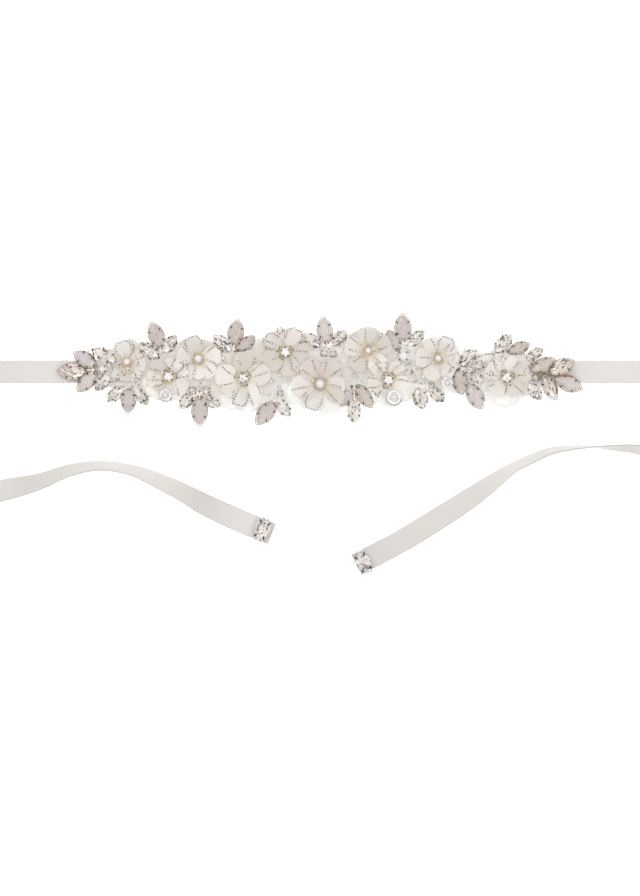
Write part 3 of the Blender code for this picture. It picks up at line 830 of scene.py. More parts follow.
def ribbonSide(sideName, tail, loop, hand, seed):
    points = smoothRows(tail + loop, ribbon["facet"], endSlope=(-hand, 0.0, 0.0, 0.0))
    frames = [ribbonFrame(points, i, hand) for i in range(len(points))]
    rolls = [-hand * math.radians(point[2]) for point in points]
    shades = [point[3] for point in points]
    join = min(range(len(points)),
               key=lambda i: math.hypot(points[i][0] - loop[0][0], points[i][1] - loop[0][1]))
    ribbonPiece("ribbon_tail_" + sideName, trimEnds(frames[:join + 1], False, True), rolls[:join + 1],
                shades[:join + 1], seed)
    ribbonPiece("ribbon_loop_" + sideName, trimEnds(frames[join:], True, True), rolls[join:],
                shades[join:], seed + 1)
    return frames


def ribbonCentre():
    half = ribbon["centreHalf"] - ribbon["seam"] / 2
    steps = round(2 * half / ribbon["facet"])
    axes = [Vector((1, 0, 0)), Vector((0, 1, 0)), Vector((0, 0, 1))]
    frames = [(Vector((-half + 2 * half * i / steps, 0.0, ribbon["wall"] / 2)), *axes)
              for i in range(steps + 1)]
    # Painted shade on the centre stretch, fading out within 30 mm of its left end.
    shades = [max(0.0, 0.15 - max(0.0, place[0].x + half) / 200.0) for place in frames]
    ribbonPiece("ribbon_centre", frames, [0.0] * len(frames), shades, seeds["centreSatin"])


ribbonCentre()
endFrames = {
    "left": ribbonSide("left", leftTail, leftLoop, -1, seeds["leftSatin"]),
    "right": ribbonSide("right", rightTail, rightLoop, 1, seeds["rightSatin"]),
}
print("ribbon swept")


levels = {
    "seat": 2.6,                 # foot of the flowers and sprays
    "petalTop": 3.8,             # face of a petal at the flower's well
    "centreSeat": 4.1,
    "well": 3.4,                 # radius of the well
}


def clothShell(bm, rows, uvs, wall, look=0):
    # Closes rows of points, the upper face of a cloth, into a thin shell with a wall below it.
    top = [[bm.verts.new(point) for point in row] for row in rows]
    low = [[bm.verts.new(point - Vector((0, 0, wall))) for point in row] for row in rows]
    faces = []
    spots = {}
    last = len(rows) - 1
    end = len(rows[0]) - 1
    for r, row in enumerate(uvs):
        for c, uv in enumerate(row):
            spots[top[r][c]] = uv
            spots[low[r][c]] = uv
    for r in range(last):
        for c in range(end):
            faces.append(bm.faces.new((top[r][c], top[r][c + 1], top[r + 1][c + 1], top[r + 1][c])))
            faces.append(bm.faces.new((low[r][c], low[r + 1][c], low[r + 1][c + 1], low[r][c + 1])))
        for c in (0, end):
            faces.append(bm.faces.new((top[r][c], top[r + 1][c], low[r + 1][c], low[r][c])))
    for c in range(end):
        for r in (0, last):
            faces.append(bm.faces.new((top[r][c], low[r][c], low[r][c + 1], top[r][c + 1])))
    bmesh.ops.recalc_face_normals(bm, faces=faces)
    layer = bm.loops.layers.uv.verify()
    for face in faces:
        face.material_index = look
        for loop in face.loops:
            loop[layer].uv = spots[loop.vert]


def levelAt(points, x):
    # Height of a polyline at x.
    for (ax, ay), (bx, by) in zip(points, points[1:]):
        if ax <= x <= bx:
            return ay + (by - ay) * (x - ax) / max(bx - ax, 1e-6)
    return points[-1][1] if x > points[-1][0] else points[0][1]


backing = {
    "width": 48.0,               # of the piece it is cut from
    "cloth": 0.5,
    "face": 2.15,
    "step": 1.7,
    "columns": 13,
    "rimStep": 4.5,
    "frill": 0.5,
    "frillTurns": (1.05, 0.93),  # of the upper and the lower edge, in radians for each mm
    "edgeRipple": 0.22,
    "sway": 0.06,
    # x, upper edge, lower edge
    "edges": [
        (-129.0, 5.5, -6.0), (-118.5, 12.0, -8.5), (-107.5, 18.5, -11.0), (-96.0, 14.5, -15.0),
        (-84.5, 14.0, -16.5), (-73.5, 19.5, -16.0), (-62.0, 17.0, -17.0), (-51.0, 13.5, -21.5),
        (-40.0, 15.5, -22.5), (-28.0, 22.0, -20.5), (-17.0, 24.5, -18.5), (-5.5, 17.0, -21.5),
        (5.5, 13.5, -24.0), (17.0, 20.5, -18.5), (28.0, 26.0, -15.0), (39.5, 18.0, -20.0),
        (51.0, 13.0, -16.0), (62.0, 19.0, -12.0), (73.5, 20.0, -12.5), (84.5, 12.0, -12.0),
        (96.0, 11.5, -18.5), (107.5, 13.0, -20.0), (117.0, 9.5, -13.5), (127.5, 5.0, -7.5),
        (136.0, 2.5, -5.0)],
}


def backingCloth():
    upper = smoothRows([(x, top) for x, top, bottom in backing["edges"]], backing["rimStep"])
    lower = smoothRows([(x, bottom) for x, top, bottom in backing["edges"]], backing["rimStep"])
    upperTurn, lowerTurn = backing["frillTurns"]
    first = backing["edges"][0][0]
    last = backing["edges"][-1][0]
    count = round((last - first) / backing["step"])
    rows = []
    uvs = []
    area = 0.0
    for i in range(count + 1):
        x = first + (last - first) * i / count
        high = levelAt(upper, x) + backing["frill"] * math.sin(x * upperTurn)
        low = levelAt(lower, x) + backing["frill"] * math.sin(x * lowerTurn + 2.0)
        area += (high - low) * (last - first) / count
        row = []
        for c in range(backing["columns"]):
            share = c / (backing["columns"] - 1)
            edge = (2 * share - 1) ** 4
            ripple = backing["edgeRipple"] * edge * math.sin(x * 1.35 + 3.0 * share)
            ripple += backing["sway"] * math.sin(x * 0.6)
            row.append(Vector((x, low + (high - low) * share, backing["face"] + ripple)))
        rows.append(row)
        uvs.append([(i / count, c / (backing["columns"] - 1)) for c in range(backing["columns"])])
    bm = bmesh.new()
    clothShell(bm, rows, uvs, backing["cloth"])
    piece = rides(newPiece("backing_cloth", bm, ["backing"]), ["backing"])
    area * mm * mm
    return piece


# Each petal is its heading, half its angle, its share of the flower's reach, and cloth. Beads edge
# the rimmed ones. Over names a spray whose stone a petal may cover.
flowers = {
    "flower_01": {
        "x": -108.8, "y": 5.4, "reach": 11.9, "cup": 3.4, "centre": "pearl", "petals": [
            (172, 30, 0.98, "blush"), (221, 30, 1.0, "white"), (262, 30, 0.94, "blush"),
            (302, 32, 0.98, "organza"), (345, 30, 0.92, "organza"), (25, 32, 0.96, "organza")],
        "rimmed": [(104, 36, 1.0, "organza")]},
    "flower_02": {
        "x": -85.3, "y": -2.9, "reach": 12.4, "cup": 3.0, "centre": "crystal", "petals": [
            (34, 40, 1.0, "light"), (88, 26, 0.85, "organza"), (133, 36, 1.0, "blush"),
            (185, 38, 1.0, "organza"), (226, 26, 0.88, "blush"), (262, 34, 0.95, "white"),
            (323, 38, 1.0, "organza")]},
    "flower_03": {
        "x": -68.6, "y": 7.1, "reach": 13.0, "cup": 3.6, "centre": "pearl", "petals": [
            (165, 40, 0.95, "organza"), (232, 34, 1.0, "organza"), (272, 26, 0.9, "light"),
            (310, 34, 1.0, "light"), (12, 42, 1.0, "light")],
        "rimmed": [(107, 34, 1.0, "white")]},
    "flower_04": {
        "x": -43.5, "y": -4.0, "reach": 15.8, "cup": 3.2, "centre": "crystal", "petals": [
            (86, 44, 1.0, "blush"), (172, 46, 1.0, "light"), (219, 28, 0.88, "organza"),
            (308, 34, 0.92, "light"), (14, 44, 1.0, "organza")],
        "rimmed": [(262, 30, 0.98, "white")]},
    "flower_05": {
        "x": -19.4, "y": 11.0, "reach": 14.2, "cup": 3.4, "centre": "crystal", "petals": [
            (212, 46, 1.0, "blush"), (285, 42, 1.0, "blush"), (352, 42, 0.95, "blush")],
        "rimmed": [(62, 31, 1.0, "organza"), (142, 31, 1.0, "white")]},
    "flower_06": {
        "x": 0.0, "y": -7.1, "reach": 16.4, "cup": 3.2, "centre": "pearl",
        "over": "spray_low_4", "petals": [
            (52, 44, 0.95, "blush"), (122, 44, 0.95, "blush"), (184, 40, 1.0, "organza"),
            (217, 26, 0.84, "blush"), (324, 31, 1.0, "blush"), (358, 34, 0.86, "organza")],
        "rimmed": [(251, 31, 0.92, "white")]},
    "flower_07": {
        "x": 27.2, "y": 11.7, "reach": 13.4, "cup": 3.6, "centre": "pearl",
        "over": "spray_high_4", "petals": [
            (96, 42, 1.0, "white"), (165, 42, 1.0, "organza"), (232, 40, 1.0, "blush"),
            (306, 42, 1.0, "light"), (20, 42, 1.0, "blush")]},
    "flower_08": {
        "x": 38.5, "y": -5.0, "reach": 12.0, "cup": 2.8, "centre": "crystal", "petals": [
            (54, 38, 1.0, "organza"), (126, 38, 1.0, "organza"), (196, 40, 0.98, "organza"),
            (268, 36, 0.9, "white"), (342, 42, 1.0, "light")]},
    "flower_09": {
        "x": 66.6, "y": 7.3, "reach": 13.0, "cup": 3.4, "centre": "pearl", "petals": [
            (116, 34, 0.98, "organza"), (178, 42, 1.0, "organza"), (246, 38, 1.0, "organza"),
            (312, 40, 1.0, "organza"), (10, 34, 0.9, "organza")],
        "rimmed": [(60, 33, 1.0, "white")]},
    "flower_10": {
        "x": 105.2, "y": -3.5, "reach": 13.0, "cup": 3.2, "centre": "crystal", "petals": [
            (12, 42, 1.0, "blush"), (150, 44, 1.0, "organza"), (226, 40, 0.92, "organza"),
            (306, 40, 0.9, "white"), (80, 34, 1.0, "organza")]},
}
petalCut = {
    "wall": 0.16,
    "columns": 17,
    "rows": 9,
    "root": 1.3,                 # radius at which a petal starts
    "waist": 0.36,               # share of its reach at its sides, and what the bow of its rim adds
    "bow": 0.66,
    "dent": 0.03,                # how far the middle of the rim dips in
    "least": 0.6,                # least that a petal shows beyond the well
    "stoneGap": 0.3,             # how much longer and wider than a stone the room for it is
    "rowBias": 0.85,             # below 1 it gathers the rows at the rim
    "unwrap": 52.0,              # degrees off the middle for one unit of the unwrapped width
    "layer": 0.05,               # how much higher each next petal starts
    "overlap": 1.8,              # how far a petal passes a neighbouring flower's
    "notchStep": 1.6,            # most that the rim steps out between two columns
    "above": 0.45,               # how far the rim lies over or under a neighbouring flower's
    "below": -1.0,
    "meeting": 3.5,              # over what length it bends there
    "beadLift": 0.18,
    "cutShare": 0.72,            # of the cloth that the petals are cut from
    "ruffle": 0.30,
    "crease": 0.30,
    "flare": 0.22,
    "tile": 0.9,                 # how much one side of a petal stands over the other
    # the skirt of sheer petals below
    "skirtReach": 1.2,
    "skirtLeast": 0.7,           # share of the flower's reach that stays where it leaves the backing
    "skirtTrim": 0.3,
    "skirtAngle": 46,
    "skirtOverlap": 5.0,
    "skirtSeat": 0.40,
    "skirtRise": 0.78,
    "skirtRuffle": 0.25,
    "skirtLevel": 0.25,          # how far every second flower's skirt is raised
}
# Headings between which a flower's lower petals are white gauze, at the edge of the whole row.
gauzeSide = {
    "flower_02": (190, 300), "flower_04": (200, 330), "flower_06": (195, 320), "flower_08": (200, 320),
    "flower_10": (200, 300), "flower_09": (0, 100),
}
# Sprays of stones: hub, then x, y, length, width, turn, kind of each stone.
sprays = {
    "spray_left_tip": ((-127.4, 1.0), [
        (-139.5, -0.1, 16.6, 9.0, 178, "champagne"), (-132.4, 6.6, 14.6, 8.0, 147, "paleOpal"),
        (-131.4, -5.6, 15.0, 7.7, 225, "paleOpal")]),
    "spray_left_inner": ((-118.4, 1.2), [
        (-120.9, 8.8, 15.4, 8.0, 148, "clear"), (-122.6, -6.1, 13.0, 7.3, 225, "clear"),
        (-122.9, 1.4, 4.4, 4.4, 0, "moonstone")]),
    "spray_low_1": ((-107.7, -8.4), [
        (-115.5, -12.8, 12.7, 7.3, 224, "clear"), (-108.0, -16.1, 14.4, 7.9, 266, "opal"),
        (-100.8, -13.9, 12.8, 6.8, -50, "clear")]),
    "spray_high_1": ((-89.6, 10.4), [
        (-92.3, 20.0, 15.5, 8.5, 110, "opal"), (-96.5, 11.6, 15.3, 8.5, 143, "clear"),
        (-84.7, 15.3, 13.0, 7.3, 55, "clear")]),
    "spray_low_2": ((-67.9, -12.0), [
        (-67.9, -22.2, 16.4, 8.5, 268, "opal"), (-75.2, -16.5, 12.4, 7.3, 228, "clear"),
        (-61.0, -17.1, 11.3, 6.8, -32, "clear"), (-71.8, -11.0, 5.0, 5.0, 0, "clear"),
        (-64.0, -11.0, 5.0, 5.0, 0, "clear")]),
    "spray_high_2": ((-48.8, 11.8), [
        (-47.6, 21.6, 14.7, 8.4, 80, "opal"), (-55.2, 15.8, 14.7, 7.9, 137, "clear"),
        (-42.0, 15.4, 13.0, 6.8, 40, "opal")]),
    "spray_low_3": ((-24.8, -15.5), [
        (-30.4, -23.3, 16.1, 8.5, 229, "opal"), (-20.8, -20.3, 13.3, 7.3, -52, "clear"),
        (-22.4, -12.3, 4.2, 4.2, 0, "clear")]),
    "spray_high_3": ((4.2, 12.8), [
        (2.7, 22.9, 15.0, 8.2, 98, "paleOpal"), (-4.2, 17.3, 13.6, 7.3, 145, "clear"),
        (10.8, 18.8, 12.4, 7.3, 47, "clear"), (2.2, 10.2, 4.4, 4.4, 0, "clear"),
        (7.4, 9.9, 4.4, 4.4, 0, "clear")]),
    "spray_high_4": ((46.6, 13.8), [
        (46.8, 24.5, 15.5, 8.8, 92, "opal"), (41.3, 17.2, 12.4, 7.9, 115, "opal"),
        (53.9, 18.5, 13.8, 7.3, 42, "clear"), (47.0, 8.8, 6.4, 6.4, 0, "moonstone")]),
    "spray_low_4": ((19.3, -9.0), [
        (19.1, -22.0, 15.1, 8.4, -89, "clear"), (25.0, -13.9, 14.7, 7.6, -56, "opal"),
        (15.1, -13.6, 12.4, 6.8, 240, "opal")]),
    "spray_low_5": ((60.5, -8.9), [
        (56.6, -15.1, 13.3, 9.0, -77, "clear"), (66.0, -13.3, 11.3, 7.3, -42, "clear"),
        (62.9, -8.0, 4.0, 4.0, 0, "clear")]),
    "spray_low_6": ((79.9, 1.5), [
        (78.8, -5.4, 14.7, 7.9, -79, "opal"), (83.6, 8.0, 13.6, 7.3, 38, "clear"),
        (88.1, -3.2, 9.6, 6.0, -25, "clear"), (90.2, 3.6, 7.4, 5.1, 20, "clear"),
        (84.0, 0.9, 5.0, 5.0, 0, "clear")]),
    "stone_01": (None, [(87.6, -14.1, 15.0, 8.6, -62, "paleOpal")]),
    "stone_02": (None, [(103.2, 15.7, 15.0, 8.4, 47, "clear")]),
    "stone_03": (None, [(112.2, 13.0, 12.8, 6.6, 23, "opal")]),
    "stone_04": (None, [(121.1, 9.6, 12.3, 6.4, 35, "clear")]),
    "stone_05": (None, [(126.0, 3.5, 14.4, 7.6, 27, "opal")]),
    "stone_06": (None, [(136.2, 2.6, 15.0, 8.2, 27, "champagne")]),
    "stone_07": (None, [(140.2, -6.8, 15.8, 8.4, -22, "paleOpal")]),
    "stone_08": (None, [(129.6, -8.9, 15.0, 7.4, -63, "champagne")]),
    "stone_09": (None, [(121.1, -11.1, 12.6, 7.2, -55, "clear")]),
    "stone_10": (None, [(121.6, -3.6, 3.8, 3.8, 0, "champagne")]),
}


def stonePoint(turnShare, length, width, share=1.0, point=1.65):
    # Point of a stone's outline. A navette has two arcs that meet in points, which point 1.0 rounds.
    angle = 2 * math.pi * turnShare
    across = math.sin(angle)
    if length > width:
        across = math.copysign(abs(across) ** point, across)
    return math.cos(angle) * length / 2 * share, across * width / 2 * share


def stoneEdges(covered=None):
    # Edges, in plan, of every stone that the petals stay clear of.
    edges = []
    for name, (hub, stones) in sprays.items():
        for x, y, length, width, turn, kind in stones:
            if name == covered and kind == "opal" and x < hub[0]:
                continue
            cosTurn = math.cos(math.radians(turn))
            sinTurn = math.sin(math.radians(turn))
            corners = []
            for k in range(16):
                px, py = stonePoint(k / 16, length + petalCut["stoneGap"], width + petalCut["stoneGap"])
                corners.append((x + px * cosTurn - py * sinTurn, y + px * sinTurn + py * cosTurn))
            edges += list(zip(corners, corners[1:] + corners[:1]))
    return edges


def rayLength(x, y, heading, edge):
    # Distance from a point to an edge along a heading, or infinity where the ray misses it.
    (ax, ay), (bx, by) = edge
    dx, dy = math.cos(heading), math.sin(heading)
    ex, ey = bx - ax, by - ay
    cross = dx * ey - dy * ex
    if abs(cross) < 1e-9:
        return math.inf
    distance = ((ax - x) * ey - (ay - y) * ex) / cross
    share = ((ax - x) * dy - (ay - y) * dx) / cross
    return distance if distance > 0 and 0 <= share <= 1 else math.inf


def inFront(name):
    # Every second flower lies over its neighbours.
    return int(name[-2:]) % 2 == 0


def petalRoom(name, heading, edges):
    # How far a flower may reach along a heading: to its neighbours' petals, and to the stones.
    flower = flowers[name]
    between = math.inf
    for otherName, other in flowers.items():
        apart = math.hypot(other["x"] - flower["x"], other["y"] - flower["y"])
        if otherName == name or apart > flower["reach"] + other["reach"]:
            continue
        share = (apart ** 2 + flower["reach"] ** 2 - other["reach"] ** 2) / (2 * apart)
        bearing = math.atan2(other["y"] - flower["y"], other["x"] - flower["x"])
        facing = math.cos(heading - bearing)
        if facing > 0.2:
            between = min(between, share / facing)
    stones = min(rayLength(flower["x"], flower["y"], heading, edge) for edge in edges)
    return between, stones


def onBacking(x, y):
    # Whether a place in plan lies over the backing.
    edges = backing["edges"]
    if not edges[0][0] < x < edges[-1][0]:
        return False
    high = levelAt([(row[0], row[1]) for row in edges], x)
    low = levelAt([(row[0], row[2]) for row in edges], x)
    return low - 0.4 < y < high + 0.4


def petalShape(name, heading, spread, reach, edges, overlap, skirt):
    # Columns of a petal: heading, angle off its middle, allowed reach, line to the neighbours.
    flower = flowers[name]
    columns = []
    for c in range(petalCut["columns"]):
        off = spread * math.sin(math.pi / 2 * (2 * c / (petalCut["columns"] - 1) - 1))
        bow = (1 - min(abs(off / spread), 1.0) ** 2.7) ** 0.5
        wave = 0.018 * math.sin(off * 0.34 + heading) + 0.014 * math.sin(off * 0.75 + heading * 2)
        dent = petalCut["dent"] * math.exp(-(off / 7.0) ** 2)
        natural = reach * (petalCut["waist"] + petalCut["bow"] * bow - dent + wave)
        angle = math.radians(heading + off)
        between, stones = petalRoom(name, angle, edges)
        allowed = min(natural, between + overlap, stones)
        while skirt and allowed > flower["reach"] * petalCut["skirtLeast"] and not onBacking(
                *around(flower["x"], flower["y"], allowed, angle)):
            allowed -= petalCut["skirtTrim"]
        columns.append([angle, off, max(allowed, levels["well"] + petalCut["least"]), between])
    for way in (1, -1):
        for a, b in zip(columns[::way], columns[::way][1:]):
            b[2] = min(b[2], a[2] + petalCut["notchStep"])
    return columns


def petalRise(name, radius, off, tile):
    # A petal springs up from its root, cups and tilts like a tile.
    flower = flowers[name]
    share = max(0.0, (radius - levels["well"]) / (flower["reach"] - levels["well"]))
    phase = off / 72.0
    cup = flower["cup"] * (1 - (1 - min(share, 1.0)) ** 2)
    return share, cup + share * (1.6 * phase ** 2 + tile * phase)


def petalHeight(name, index, radius, off, reach, between):
    # Height of an upper petal's face, with a crease down its middle and a waved rim.
    share, rise = petalRise(name, radius, off, petalCut["tile"])
    rise += petalCut["ruffle"] * share ** 2 * math.sin(off * 0.21 + index * 1.9 + flowers[name]["x"])
    rise -= petalCut["crease"] * math.exp(-(off / 4.5) ** 2) * share * (1.25 - share) * 2.0
    rise += petalCut["flare"] * max(0.0, (radius / reach - 0.8) / 0.2) ** 2
    near = max(0.0, min(1.0, (radius - between + petalCut["meeting"]) / petalCut["meeting"]))
    near = near * near * (3 - 2 * near)
    rise += petalCut["above" if inFront(name) else "below"] * near
    return levels["petalTop"] + rise + petalCut["layer"] * index * (1 - share)


def skirtHeight(name, index, radius, off, reach, between):
    # Height of a lower petal's face.
    share, rise = petalRise(name, radius, off, 0.5)
    wave = petalCut["skirtRuffle"] * min(share, 1.0) ** 2 * math.sin(off * 0.26 + index * 2.3)
    level = petalCut["skirtLevel"] if inFront(name) else 0.0
    return levels["seat"] + petalCut["skirtSeat"] + rise * petalCut["skirtRise"] + wave + level


def petalPiece(name, edges):
    # A skirt of lower petals, one between each two upper ones, and the upper petals on it.
    flower = flowers[name]
    looks = list(petalCloth)
    if "over" in flower:
        edges = stoneEdges(flower["over"])
    first, last = gauzeSide.get(name, (0, 0))
    rimmed = flower.get("rimmed", [])
    headings = sorted(petal[0] for petal in flower["petals"] + rimmed)
    petals = []
    for a, b in zip(headings, headings[1:] + [headings[0] + 360]):
        middle = (a + b) / 2
        cloth = "gauze" if first < middle % 360 < last else "sheer"
        petals.append((middle, petalCut["skirtAngle"], petalCut["skirtReach"], cloth))
    petals += flower["petals"] + rimmed
    bm = bmesh.new()
    rims = []
    area = 0.0
    for index, (heading, spread, share, cloth) in enumerate(petals):
        skirt = cloth in ("sheer", "gauze")
        columns = petalShape(name, heading, spread, flower["reach"] * share, edges,
                             petalCut["skirtOverlap"] if skirt else petalCut["overlap"], skirt)
        height = skirtHeight if skirt else petalHeight
        rows = []
        uvs = []
        for r in range(petalCut["rows"]):
            out = (r / (petalCut["rows"] - 1)) ** petalCut["rowBias"]
            row = []
            for angle, off, reach, between in columns:
                radius = petalCut["root"] + (reach - petalCut["root"]) * out
                z = height(name, index, radius, off, reach, between)
                row.append(Vector((*around(flower["x"], flower["y"], radius, angle), z)))
            rows.append(row)
            uvs.append([(column[1] / petalCut["unwrap"], out) for column in columns])
        clothShell(bm, rows, uvs, petalCut["wall"], looks.index(cloth))
        for a, b in zip(columns, columns[1:]):
            reach = (a[2] + b[2]) / 2
            area += 0.5 * (reach ** 2 - petalCut["root"] ** 2) * (b[0] - a[0])
        if index >= len(petals) - len(rimmed):
            skip = petalCut["columns"] // 6
            lift = Vector((0, 0, petalCut["beadLift"]))
            rims.append(([tuple(point + lift) for point in rows[-1][skip:-skip]], False))
    piece = newPiece("petals_" + name[-2:], bm, looks, 60)
    rides(piece, [name])
    return piece, rims, area


strands = {
    # heading and radius at the root, then at the tip
    "flower_01": [
        (204, 6.4, 199, 12.5), (53, 6.3, 72, 10.9), (168, 5.4, 177, 11.0), (302, 6.0, 303, 10.9),
        (237, 6.7, 236, 11.6), (13, 5.0, 17, 9.8)],
    "flower_02": [
        (93, 3.1, 107, 8.3), (148, 4.7, 157, 10.8), (200, 3.7, 193, 10.2), (234, 4.9, 213, 9.3),
        (349, 3.7, 359, 8.5), (30, 5.2, 29, 12.3), (309, 6.5, 298, 11.8), (73, 3.9, 70, 10.0)],
    "flower_03": [
        (153, 5.0, 141, 11.3), (205, 4.1, 209, 10.7), (317, 5.0, 314, 11.0), (353, 4.8, 344, 10.2),
        (39, 5.4, 38, 11.0), (252, 4.8, 252, 10.1)],
    "flower_04": [
        (162, 5.4, 151, 13.0), (206, 4.7, 198, 12.5), (94, 6.8, 107, 11.0), (38, 5.9, 40, 14.5),
        (50, 7.0, 60, 13.6), (10, 6.9, 14, 14.0), (338, 7.9, 320, 13.0), (292, 6.6, 291, 16.0),
        (247, 6.1, 247, 15.0)],
    "flower_05": [
        (36, 5.4, 30, 11.9), (6, 4.9, 0, 11.9), (333, 4.8, 322, 8.9), (304, 3.9, 290, 10.4),
        (260, 6.1, 253, 10.2), (216, 4.7, 210, 8.9), (164, 5.6, 169, 11.5), (145, 6.0, 151, 12.7)],
    "flower_06": [
        (138, 6.3, 142, 13.3), (107, 7.1, 108, 13.9), (70, 6.6, 73, 12.2), (37, 7.6, 36, 14.7),
        (357, 5.7, 351, 12.0), (192, 7.0, 192, 16.0), (209, 7.3, 215, 11.8), (314, 6.4, 314, 13.3)],
    "flower_07": [
        (45, 6.2, 51, 12.7), (107, 5.2, 98, 11.5), (145, 4.4, 143, 12.2), (190, 4.2, 175, 11.3),
        (4, 5.0, 11, 10.6), (220, 4.5, 217, 10.6), (263, 5.2, 263, 9.8), (313, 4.8, 316, 10.0)],
    "flower_08": [
        (66, 5.7, 51, 11.5), (30, 5.8, 29, 12.0), (5, 5.5, -3, 10.9), (216, 5.9, 201, 11.5),
        (172, 5.2, 172, 11.2), (126, 5.9, 127, 11.5), (233, 6.8, 239, 11.5), (97, 5.3, 97, 10.4)],
    "flower_09": [
        (101, 4.9, 112, 12.1), (174, 4.5, 177, 9.6), (214, 4.4, 215, 10.5), (337, 5.0, 329, 9.3),
        (279, 4.2, 278, 9.1), (51, 5.5, 51, 9.9), (13, 5.3, 16, 11.3)],
    "flower_10": [
        (110, 6.7, 88, 12.0), (144, 6.2, 131, 11.3), (55, 4.5, 55, 10.4), (11, 4.8, 7, 10.4),
        (170, 5.6, 169, 11.2), (209, 5.7, 207, 11.0), (316, 5.9, 316, 11.9), (269, 4.7, 266, 9.2)],
}
seedBeads = {
    "radius": 0.41,
    "pitch": 0.80,
    "rimRadius": 0.42,
    "rimPitch": 0.80,
    "goldShare": 0.28,           # how much of a strand, from its root, is gold
    "stride": 0.9,               # between the points at which a strand is laid on the cloth
    "sink": 0.6,                 # share of a bead's radius that it stands over the cloth
}


class Ground:
    # The upper faces that beads and small parts lie on.
    def __init__(self, pieces):
        points = []
        faces = []
        for piece in pieces:
            first = len(points)
            points += [vertex.co for vertex in piece.data.vertices]
            faces += [[first + v for v in face.vertices] for face in piece.data.polygons]
        self.tree = BVHTree.FromPolygons(points, faces)

    def height(self, x, y):
        # Height, in millimetres, of the top face at a place.
        hit = self.tree.ray_cast(Vector((x * mm, y * mm, 0.05)), Vector((0, 0, -1)))[0]
        return hit.z / mm if hit else levels["seat"]

    def laid(self, run, lift):
        # Lays plan points on the ground and evens out the steps between petals.
        heights = [self.height(x, y) for x, y in run]
        even = []
        for i in range(len(run)):
            near = heights[max(i - 1, 0):i + 2]
            even.append(max(heights[i], sum(near) / len(near)) + lift)
        return [(x, y, z) for (x, y), z in zip(run, even)]


def aroundFlower(name, heading, radius):
    return around(flowers[name]["x"], flowers[name]["y"], radius, math.radians(heading))


def strandRuns(name, ground, first, last):
    # The part of each strand between two shares of its length.
    runs = []
    for rootHeading, rootRadius, tipHeading, tipRadius in strands[name]:
        plan = []
        count = max(3, round((tipRadius - rootRadius) * (last - first) / seedBeads["stride"]))
        for i in range(count + 1):
            t = first + (last - first) * i / count
            plan.append(aroundFlower(name, rootHeading + (tipHeading - rootHeading) * t,
                                     rootRadius + (tipRadius - rootRadius) * t))
        runs.append((ground.laid(plan, seedBeads["radius"] * seedBeads["sink"]), False))
    return runs


heartWork = {
    # per flower: spikes, their inner and outer radius, radius of the bead ring
    "flower_01": (10, 2.0, 4.8, 3.1), "flower_02": (9, 2.4, 4.6, 3.7), "flower_03": (12, 2.3, 4.8, 3.5),
    "flower_04": (12, 2.4, 5.0, 3.8), "flower_05": (11, 2.4, 4.8, 3.7), "flower_06": (16, 2.8, 5.2, 4.2),
    "flower_07": (22, 1.8, 6.4, 2.9), "flower_08": (14, 2.4, 5.6, 3.7), "flower_09": (18, 2.0, 5.6, 3.1),
    "flower_10": (11, 2.4, 4.8, 3.7),
}
spike = {
    "wire": 0.15,
    "tip": 0.30,
    "taper": 0.3,
    "foot": 0.15,
    "stray": 0.25,               # of its heading, as a share of the step to the next
    "swerve": 5.0,
    "reach": (0.78, 1.08),
    "arch": (0.2, 1.0),
    "archTurn": 0.6,             # how much of a half wave the arch is
}


def goldSpikes(name, ground, seed):
    # Fine gold wires that spring out from under the middle of a flower, each with a bead tip.
    count, inner, outer = heartWork[name][:3]
    chance = random.Random(seed)
    runs = []
    for k in range(count):
        heading = 360.0 * (k + chance.uniform(-spike["stray"], spike["stray"])) / count
        reach = outer * chance.uniform(*spike["reach"])
        lift = chance.uniform(*spike["arch"])
        run = []
        for i in range(4):
            t = i / 3
            swerve = spike["swerve"] * t * chance.uniform(-1, 1)
            x, y = aroundFlower(name, heading + swerve, inner + (reach - inner) * t)
            arch = lift * math.sin(math.pi * t * spike["archTurn"])
            run.append((x, y, ground.height(x, y) + spike["foot"] + arch))
        runs.append((run, False))
    return wires("spikes", runs, spike["wire"], "goldWire", spike["tip"], spike["taper"])


heartBead = {"radius": 0.46, "variation": 0.35}
heartRows = {
    # pieces of the row, beads in each, step and stray of their heading, how far out, lift, pitch
    "ring": (5, 5, 13.0, 14, (-0.5, 0.6), 0.3, 1.05),
    "clumps": (3, 4, 14.0, 35, (0.3, 1.1), 0.4, 0.95),
}
heartFinishAndShade = {
    # the ring's finish and the painted shade on every second bead, then those of the clumps
    "crystal": {"ring": ("goldSeed", 0.45), "clumps": ("oliveSeed", 0.5)},
    "pearl": {"ring": ("goldSeed", 0.0), "clumps": ("goldSeed", 0.15)},
}


def heartRing(name, ground, radius, seed):
    # A ragged ring of gold beads round the middle, with clumps on its outside.
    chance = random.Random(seed)
    made = []
    for order, (row, (look, wear)) in enumerate(heartFinishAndShade[flowers[name]["centre"]].items()):
        parts, count, step, stray, out, lift, pitch = heartRows[row]
        arcs = []
        for k in range(parts):
            first = 360.0 / parts * k + chance.uniform(-stray, stray)
            plan = [aroundFlower(name, first + step * i, radius + chance.uniform(*out))
                    for i in range(count)]
            arcs.append((ground.laid(plan, lift), False))
        made.append(beads(row, arcs, heartBead["radius"], pitch, look, seed + 50 * order,
                          variation=heartBead["variation"], wear=wear))
    return made


